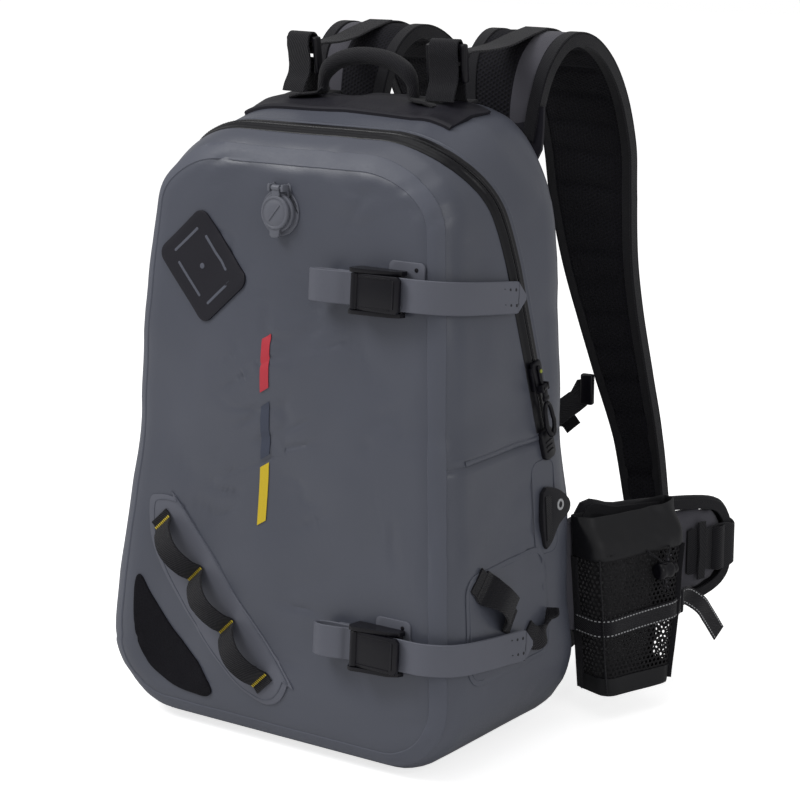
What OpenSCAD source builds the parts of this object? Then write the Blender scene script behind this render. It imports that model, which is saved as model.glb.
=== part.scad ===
// Roll-proof welded tackle backpack. Millimetres, Z up, front of the bag faces -Y, wearer's back +Y.
// The origin is the centre of the flat base. Every sub-part is one module drawn by its node name.

/* [Node] */
// Sub-part to draw, or all of them

/* [Bag shell] */
// Height of the bag body above its feet plane
bag_height = 500; // [440:5:560]
// Half of the width at the base, on the side lines
base_half = 172; // [140:1:200]
// Half of the width at the top, on the side lines
top_half = 142; // [110:1:180]
// Depth front to back at the base
base_depth = 208; // [160:1:240]
// Depth front to back at the top
top_depth = 170; // [130:1:220]
// Y of the flat back plane
back_y = 95; // [70:1:120]
// Corner radius of the outline at the bottom
bottom_corner = 60; // [40:1:90]
// Corner radius of the outline at the top
top_corner = 80; // [50:1:100]
// Rounding between front panel and gusset
front_round = 28; // [12:1:40]
// Rounding between gusset and back panel
back_round = 40; // [20:1:50]
// How far the top slopes down from the middle to the front
top_slope = 24; // [0:1:40]
// Thickness of the coated fabric with its lining
wall = 2.4; // [1.5:0.1:4]
// Thickness of the dark wear plate under the bag
boot_thick = 3; // [2:0.5:6]

/* [Zip] */
// Height of the two zip ends
zip_end_z = 245; // [200:1:300]
// Y of the two zip ends
zip_end_y = 42; // [10:1:50]
// Forward run of the straight part of the zip per unit of height
zip_lean = 0.25; // [0.1:0.01:0.4]
// Height at which the straight part of the zip ends
zip_bend_z = 375; // [330:1:400]
// Angle of the fabric wedge that folds when the flap opens
fold_angle = 25; // [10:1:35]
// Rest height of the slider
slider_z = 296; // [270:1:320]

/* [Straps] */
// Share by which the shoulder straps are wider or narrower than drawn
strap_width_scale = 1; // [0.8:0.01:1.1]
// Thickness of the shoulder strap padding
strap_thick = 11; // [8:0.5:18]
// Width of the front compression straps
comp_width = 25; // [20:1:40]
// Thickness of the welded strap film
comp_thick = 2; // [1:0.1:4]

/* [Hidden] */
$fn = 40;
lean = atan((base_half - top_half) / bag_height);
tilt = atan((base_depth - top_depth) / bag_height);
nx = cos(lean);
nz = sin(lean);
low_cz = boot_thick + bottom_corner;
top_cz = bag_height - top_corner;
low_cx = base_half - (bottom_corner + low_cz * nz) / nx;
top_cx = base_half - (top_corner + top_cz * nz) / nx;
arc_low_z = low_cz + bottom_corner * nz;
arc_top_z = top_cz + top_corner * nz;
wedge = tan(fold_angle);
zip_angle = atan(zip_lean * nx);
skin_gap = 0.15;

function lerp(a, b, t) = a + (b - a) * t;
function half_at(z) = base_half - (base_half - top_half) * z / bag_height;
function front_at(z) = back_y - base_depth + (base_depth - top_depth) * z / bag_height;
// Height to Y of the zip line: straight up to the bend, then easing on to the top
function zip_at(z) = z <= zip_bend_z ? zip_end_y - zip_lean * (z - zip_end_z)
  : let (y0 = zip_end_y - zip_lean * (zip_bend_z - zip_end_z), t = min(1, (z - zip_bend_z) / (bag_height - zip_bend_z)))
    y0 - zip_lean * (bag_height - zip_bend_z) * t - 22 * sin(t * 90) * t;

// Outline points as [x, z, normal x, normal z]
function arc_point(cx, cz, r, a) = [cx + r * cos(a), cz + r * sin(a), cos(a), sin(a)];
function side_point(z) = [half_at(z), z, nx, nz];
low_half = concat([for (i = [0:3]) [low_cx * i / 4, boot_thick, 0, -1]],
  [for (i = [0:8]) arc_point(low_cx, low_cz, bottom_corner, lerp(-90, lean, i / 8))],
  [for (i = [1:3]) side_point(lerp(arc_low_z, zip_end_z, i / 3))]);
top_half_points = concat([for (i = [0:10]) arc_point(top_cx, top_cz, top_corner, lerp(lean, 90, i / 10))],
  [for (i = [1:3]) [top_cx * (1 - i / 3), bag_height, 0, 1]]);
side_up = [for (i = [0:7]) side_point(lerp(zip_end_z, arc_top_z, i / 8))];
upper_half = concat(side_up, top_half_points);

// Drop of the sloping top at a place of the unsloped outline
function sag(y, z) = let (u = max(0, min(1, (z - 400) / 100)), v = max(0, min(1, (20 - y) / 95)))
  top_slope * u * u * (3 - 2 * u) * v;
// A point of the skin: rounding angle, gusset Y or back angle; t is the depth under the surface
function front_point(q, a, t) = let (ins = front_round - (front_round - t) * sin(a), z = q[1] - q[3] * ins,
    r = front_round - (front_round - t) * cos(a), s = z - sag(front_at(z) + r, z))
  [q[0] - q[2] * ins, front_at(s) + r, s];
function back_point(q, a, t) = let (ins = back_round - (back_round - t) * sin(a))
  [q[0] - q[2] * ins, back_y - back_round + (back_round - t) * cos(a), q[1] - q[3] * ins];
function flank_point(q, y, t) = let (z = q[1] - q[3] * t) [q[0] - q[2] * t, y, z - sag(y, z)];
front_angles = [0, 18, 36, 54, 72];
back_angles = [90, 72, 54, 36, 18, 0];

function mirrored(row) = [for (p = row) [-p[0], p[1], p[2]]];
function top_mirror(g) = concat(g, [for (i = [len(g) - 2:-1:0]) mirrored(g[i])]);
function low_mirror(g) = concat([for (i = [len(g) - 1:-1:1]) mirrored(g[i])], g);
function flat(l) = [for (a = l) for (b = a) b];

// Closed solid between two grids of the same size
module skin(outer, inner) {
  m = len(outer);
  n = len(outer[0]);
  k = m * n;
  points = concat(flat(outer), flat(inner));
  faces = concat(
    [for (i = [0:m - 2], j = [0:n - 2]) [i * n + j, (i + 1) * n + j, (i + 1) * n + j + 1]],
    [for (i = [0:m - 2], j = [0:n - 2]) [i * n + j, (i + 1) * n + j + 1, i * n + j + 1]],
    [for (i = [0:m - 2], j = [0:n - 2]) [k + i * n + j, k + (i + 1) * n + j + 1, k + (i + 1) * n + j]],
    [for (i = [0:m - 2], j = [0:n - 2]) [k + i * n + j, k + i * n + j + 1, k + (i + 1) * n + j + 1]],
    [for (i = [0:m - 2]) [i * n, k + i * n, k + (i + 1) * n]],
    [for (i = [0:m - 2]) [i * n, k + (i + 1) * n, (i + 1) * n]],
    [for (i = [0:m - 2]) [i * n + n - 1, (i + 1) * n + n - 1, k + (i + 1) * n + n - 1]],
    [for (i = [0:m - 2]) [i * n + n - 1, k + (i + 1) * n + n - 1, k + i * n + n - 1]],
    [for (j = [0:n - 2]) [j, j + 1, k + j + 1]],
    [for (j = [0:n - 2]) [j, k + j + 1, k + j]],
    [for (j = [0:n - 2]) [(m - 1) * n + j, k + (m - 1) * n + j + 1, (m - 1) * n + j + 1]],
    [for (j = [0:n - 2]) [(m - 1) * n + j, k + (m - 1) * n + j, k + (m - 1) * n + j + 1]]);
  polyhedron(points, faces, convexity = 8);
}

// Loop of sections joined into one closed tube-like solid
module sweep(sections) {
  m = len(sections);
  n = len(sections[0]);
  faces = concat([[for (j = [0:n - 1]) j]],
    [for (i = [0:m - 2], j = [0:n - 1]) [i * n + j, (i + 1) * n + j, (i + 1) * n + (j + 1) % n]],
    [for (i = [0:m - 2], j = [0:n - 1]) [i * n + j, (i + 1) * n + (j + 1) % n, i * n + (j + 1) % n]],
    [[for (j = [n - 1:-1:0]) (m - 1) * n + j]]);
  polyhedron(flat(sections), faces, convexity = 8);
}

// Frames on the skin: local z points out of the surface, local y up along it
module on_front(x, z, off = 0) {
  translate([x, front_at(z), z]) rotate([90 - tilt, 0, 0]) translate([0, 0, off]) children();
}
module on_side(y, z, off = 0) {
  translate([half_at(z), y, z]) rotate([0, -lean, 0]) rotate([90, 0, 90]) translate([0, 0, off]) children();
}
module on_back(x, z, off = 0) {
  translate([x, back_y, z]) rotate([90, 0, 180]) translate([0, 0, off]) children();
}
module slab(w, h, t, r) {
  translate([0, 0, t / 2]) difference() {
    cube([w, h, t], center = true);
    for (a = [0, 1], b = [0, 1]) mirror([a, 0, 0]) mirror([0, b, 0])
      translate([w / 2 - r, h / 2 - r, 0]) difference() {
        translate([0, 0, -t]) cube([r + 1, r + 1, 2 * t]);
        cylinder(r = r, h = 3 * t, center = true);
      }
  }
}
// Ribbon of constant thickness along a path of 2D points
function unit(v) = v / norm(v);
function turn(v) = [-v[1], v[0]];
function side_dir(p, i) = turn(unit(i == 0 ? p[1] - p[0] : i == len(p) - 1 ? p[i] - p[i - 1]
  : unit(p[i + 1] - p[i]) + unit(p[i] - p[i - 1])));
function ribbon(p, t) = concat([for (i = [0:len(p) - 1]) p[i] + side_dir(p, i) * t / 2],
  [for (i = [len(p) - 1:-1:0]) p[i] - side_dir(p, i) * t / 2]);

// ---- bag shell ----
module gusset_lower() {
  ends = [for (j = [0:2]) j / 2];
  g = function (t) [for (q = low_half) concat([for (a = front_angles) front_point(q, a, t)],
    [for (w = ends) flank_point(q, lerp(front_at(q[1]) + front_round, back_y - back_round, w), t)],
    [for (a = [72, 54, 36, 18, 0]) back_point(q, a, t)])];
  color("#4c4c54") skin(low_mirror(g(0)), low_mirror(g(wall)));
}
module gusset_rear() {
  g = function (t) [for (q = upper_half) concat(
    [for (y = [zip_at(q[1]) + 0.6, max(zip_at(q[1]) + 3, 20)]) flank_point(q, y, t)],
    [for (a = back_angles) back_point(q, a, t)])];
  color("#4c4c54") skin(top_mirror(g(0)), top_mirror(g(wall)));
}
function inset_outline(points, r) = [for (q = points) [q[0] - q[2] * r, q[1] - q[3] * r]];
function closed_half(half) = concat(half, [for (i = [len(half) - 1:-1:0]) if (half[i][0] > 0.01) [-half[i][0], half[i][1]]]);
module back_panel() {
  pts = closed_half(inset_outline(concat(low_half, upper_half), back_round + 0.4));
  color("#34343a") translate([0, back_y, 0]) rotate([90, 0, 0]) linear_extrude(wall) polygon(pts);
}
// Height at which a row of the flap starts, on the fold plane through the zip ends
function fold_start(w) = let (a = lerp(front_at(0) + front_round, zip_end_y - 0.6 + zip_lean * zip_end_z, w),
    b = lerp((base_depth - top_depth) / bag_height, -zip_lean, w))
  (zip_end_z + (zip_end_y - a) * wedge) / (1 + b * wedge);
function fold_round(a) = let (k = (base_depth - top_depth) / bag_height,
    y0 = front_at(0) + front_round - front_round * cos(a))
  (zip_end_z + (zip_end_y - y0) * wedge) / (1 + k * wedge);
fold_front_z = fold_round(0);
module flap_gusset() {
  ws = [0, 0.25, 0.5, 0.75, 1];
  edge = function (z, w, t) flank_point(side_point(z), lerp(front_at(z) + front_round, zip_at(z) - 0.6, w), t);
  g = function (t) concat(
    [for (i = [0:6]) concat(
      [for (a = front_angles) front_point(side_point(lerp(fold_round(a) + nz * (front_round - (front_round) * sin(a)),
        arc_top_z, i / 7)), a, t)],
      [for (w = ws) edge(lerp(fold_start(w), arc_top_z, i / 7), w, t)])],
    [for (q = top_half_points) concat([for (a = front_angles) front_point(q, a, t)],
      [for (w = ws) flank_point(q, lerp(front_at(q[1]) + front_round, zip_at(q[1]) - 0.6, w), t)])]);
  color("#4f4f57") skin(top_mirror(g(0)), top_mirror(g(wall)));
}
module front_plate(pts) {
  color("#5a5c66") on_front(0, 0, -wall) linear_extrude(wall) polygon([for (p = pts) [p[0], p[1] / cos(tilt)]]);
}
module flap_panel() {
  half = concat([[half_at(fold_front_z) - front_round - 1.2, fold_front_z + 0.5]],
    inset_outline(concat([side_point(380)], top_half_points), front_round + 0.5));
  front_plate([for (p = closed_half(half)) [p[0], p[1] - sag(front_at(p[1]), p[1])]]);
}
module front_panel_lower() {
  half = concat(inset_outline([for (i = [0:len(low_half) - 2]) low_half[i]], front_round + 0.5),
    [[half_at(zip_end_z) - front_round - 1, zip_end_z - 0.4]]);
  front_plate(closed_half(half));
}
// Wedge of fabric between the lower panel and the flap; it creases when the flap tips
module front_fold() {
  cols = concat([for (i = [0:4]) [1, 0.96 - 0.24 * i]], [for (i = [0:4]) [0, 90 - 18 * (i + 0.01)]],
    [[2, 0.8], [2, 0.4], [2, 0]]);
  low = zip_end_z + 0.4;
  place = function (c, z, t) c[0] == 1
    ? flank_point(side_point(z), lerp(front_at(z) + front_round, zip_at(z) - 0.6, c[1]), t)
    : c[0] == 0 ? front_point(side_point(z), c[1], t)
    : [(half_at(z) - front_round) * c[1], front_at(z) + t, z];
  high = function (c) c[0] == 1 ? fold_start(c[1]) : c[0] == 0 ? fold_round(c[1]) : fold_front_z;
  g = function (t) [for (c = cols) [for (k = [0, 0.5, 1]) place(c, lerp(low, high(c) - 0.5, k), t)]];
  color("#55565f") skin(top_mirror(g(0)), top_mirror(g(wall)));
}
module base_boot() {
  color("#1c1c20") translate([0, -6, 0]) slab(204, 156, boot_thick, 30);
}
// Stiffening board inside the back of the bag
module frame_sheet() {
  color("#2a2a2e") translate([0, back_y - wall - 2.2, 262]) rotate([90, 0, 0]) slab(210, 380, 2, 24);
}

// ---- zip ----
function tape_half(y0, y1, t) = [for (q = concat([for (i = [0:6]) side_point(lerp(258, arc_top_z, i / 7))], top_half_points))
  [flank_point(q, zip_at(q[1]) + y0, t), flank_point(q, zip_at(q[1]) + y1, t)]];
module zip_tape_flap() {
  color("#15151a") skin(top_mirror(tape_half(-8.5, -0.7, -1.6)), top_mirror(tape_half(-8.5, -0.7, -skin_gap)));
}
module zip_tape_rear() {
  color("#15151a") skin(top_mirror(tape_half(0.7, 8.5, -1.6)), top_mirror(tape_half(0.7, 8.5, -skin_gap)));
}
module dock() {
  color("#1b1b20") on_side(zip_end_y, zip_end_z - 4, 0.3) rotate([0, 0, zip_angle]) slab(16, 26, 3.6, 4);
}
module zip_dock_right() dock();
module zip_dock_left() mirror([1, 0, 0]) dock();
module at_slider() {
  on_side(zip_at(slider_z), slider_z, 0) rotate([0, 0, zip_angle]) children();
}
pull_drop = 8;
module zip_slider() {
  color("#222226") at_slider() difference() {
    union() {
      translate([0, 0, 2]) slab(13, 26, 3, 4);
      for (s = [-1, 1]) translate([s * 4 - 1, -pull_drop - 3, 4.5]) cube([2, 6, 5.5]);
      translate([0, -pull_drop, 8]) rotate([0, 90, 0]) cylinder(r = 1.2, h = 9, center = true);
    }
    translate([-0.6, -14, 1.5]) cube([1.2, 28, 1.5]);
  }
}
module zip_pull() {
  color("#2a2a2e") at_slider() translate([0, -pull_drop, 8]) {
    difference() {
      union() {
        rotate([0, 90, 0]) cylinder(r = 2.6, h = 5.4, center = true);
        translate([-2.7, -12, -1.2]) cube([5.4, 11, 2.4]);
      }
      rotate([0, 90, 0]) cylinder(r = 1.26, h = 12, center = true);
    }
    // Long finger loop
    translate([0, -27, 0]) difference() {
      slab_c(13, 32, 3.6, 6);
      slab_c(6.4, 24, 6, 3.1);
    }
  }
}
module slab_c(w, h, t, r) { translate([0, 0, -t / 2]) slab(w, h, t, r); }

// ---- air valve ----
valve_x = -6;
valve_z = 424;
module valve_body() {
  color("#5d5f69") on_front(valve_x, valve_z, 0.2) {
    difference() {
      union() {
        cylinder(r = 18, h = 1.4);
        cylinder(r = 15, h = 5);
      }
      translate([0, 0, 1.5]) cylinder(r = 8, h = 6);
    }
    for (s = [-1, 1]) translate([s * 5.2 - 1.2, 16.2, 0]) cube([2.4, 5.6, 8.4]);
    translate([0, 19, 6.4]) rotate([0, 90, 0]) cylinder(r = 1.1, h = 12.4, center = true);
  }
}
module valve_cap() {
  color("#6b6d77") on_front(valve_x, valve_z, 0.2) difference() {
    union() {
      translate([0, 0, 5.4]) cylinder(r = 13, h = 2.6);
      translate([-3.6, 8, 5.4]) cube([7.2, 10, 2]);
      translate([0, 19, 6.4]) rotate([0, 90, 0]) cylinder(r = 2.4, h = 7.2, center = true);
      translate([-4, -17, 5.4]) cube([8, 7, 2]);
    }
    translate([0, 19, 6.4]) rotate([0, 90, 0]) cylinder(r = 1.16, h = 20, center = true);
  }
}

// ---- lash patch, a turned rounded rectangle with four slits and a centre hole ----
module lash_patch() {
  color("#2c2b33") on_front(-80, 376, 0.2) rotate([0, 0, -48]) difference() {
    slab(74, 58, 1.8, 9);
    for (s = [-1, 1]) {
      translate([0, s * 17, 0]) cube([34, 3, 8], center = true);
      translate([s * 26, 0, 0]) cube([3, 34, 8], center = true);
    }
    cylinder(r = 2, h = 10, center = true);
  }
}

// ---- compression straps: a welded base, a loop, a cam buckle and a tail to the side ----
upper_z = 374;
lower_z = 104;
module strap_base(x0, x1, z) {
  color("#5b5d67") on_front((x0 + x1) / 2, z, 0.2) difference() {
    union() {
      slab(x1 - x0, comp_width, 1, 6);
      translate([(x1 - x0) / 2 - 18, comp_width / 2 + 3, 0]) slab(30, 15, 1, 5);
    }
    translate([(x1 - x0) / 2 - 14, comp_width / 2 + 4, 0]) cylinder(r = 2, h = 6, center = true);
  }
}
// Loop on the left of the buckle, through it and round the corner to a cut tip on the gusset
module comp_strap(x_loop, x_buckle, z, y_tip) {
  f = front_at(z);
  s = half_at(z);
  path = [[x_buckle - 4, f - 3.4], [x_loop + 24, f - 3.4], [x_loop + 10, f - 4.5], [x_loop + 2.5, f - 9], [x_loop + 3, f - 15],
    [x_loop + 12, f - 18.5], [x_loop + 26, f - 15], [x_buckle - 24, f - 11], [x_buckle + 24, f - 11],
    [s - 18, f - 10], [s - 5, f - 2], [s + 3, f + 12], [s + 6, f + 36], [s + 6, y_tip - 10], [s + 6, y_tip]];
  color("#5b5d67") multmatrix([[1, 0, 0, 0], [0, 1, 0, 0], [0, -0.13, 1, z + 0.13 * f], [0, 0, 0, 1]])
    difference() {
      translate([0, 0, -comp_width / 2]) linear_extrude(comp_width) polygon(ribbon(path, comp_thick));
      for (i = [0:2], j = [-1, 1]) translate([s + 6, y_tip - 10 - 8 * i, j * 6]) rotate([0, 90, 0])
        cylinder(r = 1, h = 8, center = true);
      for (j = [-1, 1]) translate([s + 6, y_tip, j * comp_width / 2]) rotate([45, 0, 0])
        cube([10, 10, 10], center = true);
    }
}
// Open frame with two cheeks and a fixed bar the strap runs over
module comp_buckle(x, z) {
  color("#1d1c22") on_front(x, z, 0) {
    for (s = [-1, 1]) translate([-22, s * (comp_width / 2 + 3.2) - 1.6, 1.8]) cube([44, 3.2, 16]);
    translate([-22, -comp_width / 2 - 2, 5.7]) cube([44, comp_width + 4, 2.2]);
    translate([-16, 0, 17]) rotate([90, 0, 0]) cylinder(r = 1.5, h = comp_width + 7, center = true);
  }
}
// Cam lever, hinged on the bar of the frame
module comp_lever(x, z) {
  color("#26252b") on_front(x, z, 0) difference() {
    union() {
      translate([-16, 0, 17]) rotate([90, 0, 0]) cylinder(r = 3.2, h = comp_width + 2, center = true);
      translate([-14, -comp_width / 2 - 1, 15]) cube([38, comp_width + 2, 3.2]);
    }
    translate([-16, 0, 17]) rotate([90, 0, 0]) cylinder(r = 1.56, h = comp_width + 20, center = true);
  }
}
module upper_strap_base() strap_base(46, 132, upper_z);
module upper_strap() comp_strap(33, 95, upper_z, 14);
module upper_buckle() comp_buckle(95, upper_z);
module upper_lever() comp_lever(95, upper_z);
module lower_strap_base() strap_base(62, 134, lower_z);
module lower_strap() comp_strap(50, 108, lower_z, 4);
module lower_buckle() comp_buckle(108, lower_z);
module lower_lever() comp_lever(108, lower_z);

// ---- tool loops, lower left of the front ----
tool_x = [-111, -79, -43, -7];
tool_z = [166, 128, 91, 56];
module tool_patch() {
  pts = [[-127, 182], [-118, 188], [-103, 188], [-94, 182], [16, 66], [19, 56], [12, 43], [0, 37], [-14, 39], [-34, 48],
    [-62, 70], [-90, 99], [-112, 128], [-124, 154]];
  color("#585a64") on_front(0, 0, 0.2) linear_extrude(1) polygon([for (p = pts) [p[0], p[1] / cos(tilt)]]);
}
// Webbing that runs along the row of bartacks and lifts into three loops between them
module tool_webbing() {
  a = [tool_x[0], tool_z[0]];
  b = [tool_x[3], tool_z[3]];
  run = norm(b - a);
  path = concat([[-6, 2.4], [3, 2.4]], [for (k = [0:2]) for (i = [1:7])
    [lerp(k, k + 1, i / 8) * run / 3, 2.4 + 15 * pow(sin(i * 22.5), 0.8)]], [[run - 3, 2.4], [run + 6, 2.4]]);
  color("#26252c") on_front(a[0], a[1], 0) rotate([0, 0, -atan2(a[1] - b[1], b[0] - a[0])])
    translate([0, 0, 0]) rotate([90, 0, 0]) translate([0, 0, -10]) linear_extrude(20) polygon(ribbon(path, 1.8));
}
module tool_bartacks() {
  d = atan2(tool_z[0] - tool_z[3], tool_x[3] - tool_x[0]);
  color("#c7b03a") for (i = [0:3]) on_front(lerp(tool_x[0], tool_x[3], i / 3), lerp(tool_z[0], tool_z[3], i / 3), 3.45)
    rotate([0, 0, -d]) translate([-1.5, -9, 0]) cube([3, 18, 1]);
}
module fly_patch() {
  pts = [[-136, 118], [-138, 104], [-137, 78], [-133, 60], [-122, 44], [-98, 33], [-70, 30], [-60, 33], [-60, 38], [-76, 55],
    [-101, 77], [-122, 102], [-130, 118]];
  color("#1a1921") on_front(0, 0, 0.2) linear_extrude(1.6) polygon([for (p = pts) [p[0], p[1] / cos(tilt)]]);
}

// ---- side pieces ----
module rod_patch() {
  color("#494952") on_side(-22, 118, 0.2) slab(112, 88, 1, 14);
}
// Two webbings that stand off the side as a holder for a rod butt
module rod_holder() {
  color("#121117") on_side(-22, 118, 0) {
    translate([-16, 14, 0]) rotate([0, 0, -44]) rotate([90, 0, 0]) translate([0, 0, -12]) linear_extrude(24)
      polygon(ribbon([[-31, 2.4], [-23, 2.4], [-17, 8], [-8, 14], [6, 14], [15, 8], [21, 2.4], [29, 2.4]], 2));
    translate([40, -24, 1.4]) slab(34, 28, 2, 4);
  }
}
tab_y = 48;
tab_z = 187;
module side_tab() {
  pts = [[-16, 16], [4, 16], [22, 4], [22, -6], [6, -14], [-6, -26], [-16, -26]];
  color("#17161b") on_side(tab_y, tab_z, 0.2) difference() {
    linear_extrude(3) polygon(pts);
    translate([8, 2, -1]) cylinder(r = 4, h = 8);
  }
}
module side_tab_right() side_tab();
module side_tab_left() mirror([1, 0, 0]) side_tab();

// ---- top ----
module top_reinforcement() {
  g = function (t) [for (q = top_half_points) if (q[0] < 104) [for (y = [-6, 20, 46]) flank_point(q, y, t)]];
  color("#1b1a20") skin(top_mirror(g(-2.6)), top_mirror(g(-skin_gap)));
}
handle_y = 24;
module grab_handle() {
  // Padded tube on two flat feet, bent into a low arch
  path = [for (i = [0:16]) let (a = 180 - i * 11.25) [44 * cos(a), pow(sin(a), 0.7) * 30]];
  color("#131217") {
    sweep([for (i = [0:16]) let (p = path[i], d = unit(i == 0 ? path[1] - p : i == 16 ? p - path[15] : path[i + 1] - path[i - 1]))
      [for (j = [0:11]) [p[0] - d[1] * 6.5 * cos(j * 30), handle_y + 6.5 * sin(j * 30),
        bag_height + 7 + p[1] + d[0] * 6.5 * cos(j * 30)]]]);
  }
}
// Load-lifter anchor: webbing from the top edge into a ladder-lock
module lifter() {
  color("#18171c") translate([68, 44, bag_height - 6]) rotate([6, 0, 8]) {
    translate([-12.5, -2, 9.4]) cube([25, 2.4, 24.6]);
    translate([0, -4, 40]) rotate([90, 0, 0]) difference() {
      slab(34, 30, 5, 5);
      for (y = [-8.5, 0, 8.5]) translate([0, y, 0]) cube([26, 4.2, 14], center = true);
    }
    translate([-12.5, -10.6, 30]) rotate([12, 0, 0]) cube([25, 1.6, 26]);
  }
}
module lifter_right() lifter();
module lifter_left() mirror([1, 0, 0]) lifter();
module back_pads() {
  color("#1a191e") {
    for (s = [-1, 1]) on_back(s * 58, 310, 0.3) slab(86, 230, 12, 22);
    on_back(0, 110, 0.3) slab(220, 110, 16, 24);
  }
}

// ---- shoulder straps ----
// Stations: x, y, z of the centre line, then the width at each
strap_path = [[76, 105, 462], [76, 107, 498], [76, 117, 528], [76, 142, 545], [76, 172, 541], [75, 202, 521],
  [74, 226, 490], [73, 243, 450], [70, 255, 405], [70, 268, 350], [75, 279, 300], [83, 291, 245], [94, 301, 185],
  [103, 305, 120]];
strap_widths = [58, 68, 78, 82, 84, 85, 85, 84, 80, 70, 61, 53, 43, 38];
function strap_dir(i) = unit(strap_path[min(i + 1, len(strap_path) - 1)] - strap_path[max(i - 1, 0)]);
strap_shape = [[-0.5, -0.2], [-0.47, -0.42], [-0.4, -0.5], [0, -0.5], [0.4, -0.5], [0.47, -0.42], [0.5, -0.2],
  [0.5, 0.2], [0.47, 0.42], [0.4, 0.5], [0, 0.5], [-0.4, 0.5], [-0.47, 0.42], [-0.5, 0.2]];
module shoulder() {
  m = len(strap_path) - 1;
  color("#17161c") sweep([for (i = [0:m]) let (d = strap_dir(i), u = unit(cross([1, 0, 0], d)), x = cross(d, u),
      w = strap_widths[i] * strap_width_scale, t = i == 0 ? strap_thick * 0.5 : strap_thick)
    [for (s = strap_shape) strap_path[i] + x * s[0] * w + u * s[1] * t]]);
}
module strap_right() shoulder();
module strap_left() mirror([1, 0, 0]) shoulder();
module ladder() {
  color("#1c1b20") translate([103.6, 305.2, 104]) rotate([4, 0, 0]) rotate([90, 0, 0]) translate([0, 0, -2.5]) difference() {
    slab(36, 28, 5, 5);
    for (y = [-8, 0, 8]) translate([0, y, 0]) cube([27, 4.2, 14], center = true);
  }
}
module ladderlock_right() ladder();
module ladderlock_left() mirror([1, 0, 0]) ladder();
// Webbing from the ladder-lock forward and down to the bottom corner of the bag
module low_web() {
  a = [103.8, 303.5, 89];
  b = [126, 98.5, 44];
  color("#151419") sweep([for (k = [0, 0.12, 0.35, 0.65, 0.9, 1]) let (c = lerp(a, b, k) + [0, 0, -10 * sin(k * 180)],
      s = sin(90 * k)) [for (q = [[-1, -1], [1, -1], [1, 1], [-1, 1]]) c + [12.5 * q[0], 0.9 * q[1] * lerp(0.4, 1, s), 0]
      + [0, 0, 0.9 * q[1]]]]);
}
module lower_webbing_right() low_web();
module lower_webbing_left() mirror([1, 0, 0]) low_web();
// Sternum strap half: a slider on the shoulder strap and a short webbing with half a clip
module sternum(clip) {
  // The right half is longer and hangs down to its end of the clip
  reach = clip == 1 ? 50 : 20;
  color("#18171c") translate([53.6, 281, 225]) {
    translate([-10, 3, -14]) rotate([0, 0, 6]) cube([12, 6, 28]);
    rotate([0, clip == 1 ? -38 : -8, 0]) {
      translate([-reach - 8, 4, -11]) cube([reach, 2, 22]);
      translate([-reach - 20, 1, -12]) cube([13, 8, 24]);
    }
  }
}
module sternum_right() sternum(1);
module sternum_left() mirror([1, 0, 0]) sternum(0);

// ---- hip wings ----
wing_angle = 18;
module at_wing() { translate([152, 101, 0]) rotate([0, 0, 90 - wing_angle]) children(); }
// Local x runs out along the wing, local y towards the wearer, local z up
module at_pouch() { at_wing() translate([-16, 0, -14]) children(); }
module wing_shape() {
  pts = [[3, 70], [40, 66], [120, 72], [150, 78], [166, 88], [171, 104], [171, 128], [164, 146], [148, 156], [100, 163],
    [40, 168], [3, 168]];
  color("#4e4d55") at_wing() translate([0, 6, 0]) rotate([90, 0, 0]) linear_extrude(10) polygon(pts);
}
module wing_right() wing_shape();
module wing_left() mirror([1, 0, 0]) wing_shape();
module wing_web() {
  color("#131217") at_wing() {
    translate([120, -6.4, 98]) cube([54, 2, 38]);
    translate([172, -6.4, 98]) cube([2, 14, 38]);
    translate([128, -9.4, 92]) cube([8, 3, 50]);
  }
}
module wing_webbing_right() wing_web();
module wing_webbing_left() mirror([1, 0, 0]) wing_web();

// ---- mesh pouch on the right wing ----
// U-shaped section of the pocket wall at a height, grown outwards by g
function pouch_u(z, g) = let (k = (z - 36) / 148, x0 = lerp(20, 6, k), x1 = lerp(92, 108, k), d = 32, r = 12,
    y0 = -4.6, c = y0 - d + r)
  concat([[x1 + g, y0, z]], [for (a = [0:18:90]) [x1 - r + (r + g) * cos(a), c - (r + g) * sin(a), z]],
    [for (a = [90:18:180]) [x0 + r + (r + g) * cos(a), c - (r + g) * sin(a), z]], [[x0 - g, y0, z]]);
function columns(rows) = [for (i = [0:len(rows[0]) - 1]) [for (r = rows) r[i]]];
module pouch_wall(z0, z1, g, t) {
  zs = [z0, (z0 + z1) / 2, z1];
  skin(columns([for (z = zs) pouch_u(z, g)]), columns([for (z = zs) pouch_u(z, g - t)]));
}
module pouch_body() {
  color("#1f1f21") at_pouch() {
    pouch_wall(36, 152, 0, 1.6);
    translate([0, 0, 34]) linear_extrude(1.9) polygon([for (q = pouch_u(36, 0)) [q[0], q[1]]]);
  }
}
module pouch_collar() {
  color("#2a2a2a") at_pouch() {
    pouch_wall(152.3, 184, 0.8, 2);
    translate([12, -6.4, 153]) cube([90, 1.6, 31]);
  }
}
module pouch_band() {
  color("#26262a") at_pouch() {
    pouch_wall(88, 103, 1.6, 1.2);
    translate([108, -14, 100]) rotate([0, 42, 0]) cube([68, 1.6, 15]);
  }
}
module cord_lock() {
  color("#0f0f12") at_pouch() translate([72, -44.8, 136]) rotate([0, 90, 0]) difference() {
    cylinder(r = 7, h = 15, center = true);
    translate([0, 0, 2]) cylinder(r = 4.4, h = 12);
    rotate([90, 0, 0]) cylinder(r = 2, h = 20, center = true);
  }
}
module cord_button() {
  color("#1c1c20") at_pouch() translate([72, -44.8, 136]) rotate([0, 90, 0]) translate([0, 0, 6.5])
    cylinder(r = 4.1, h = 7);
}

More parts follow.
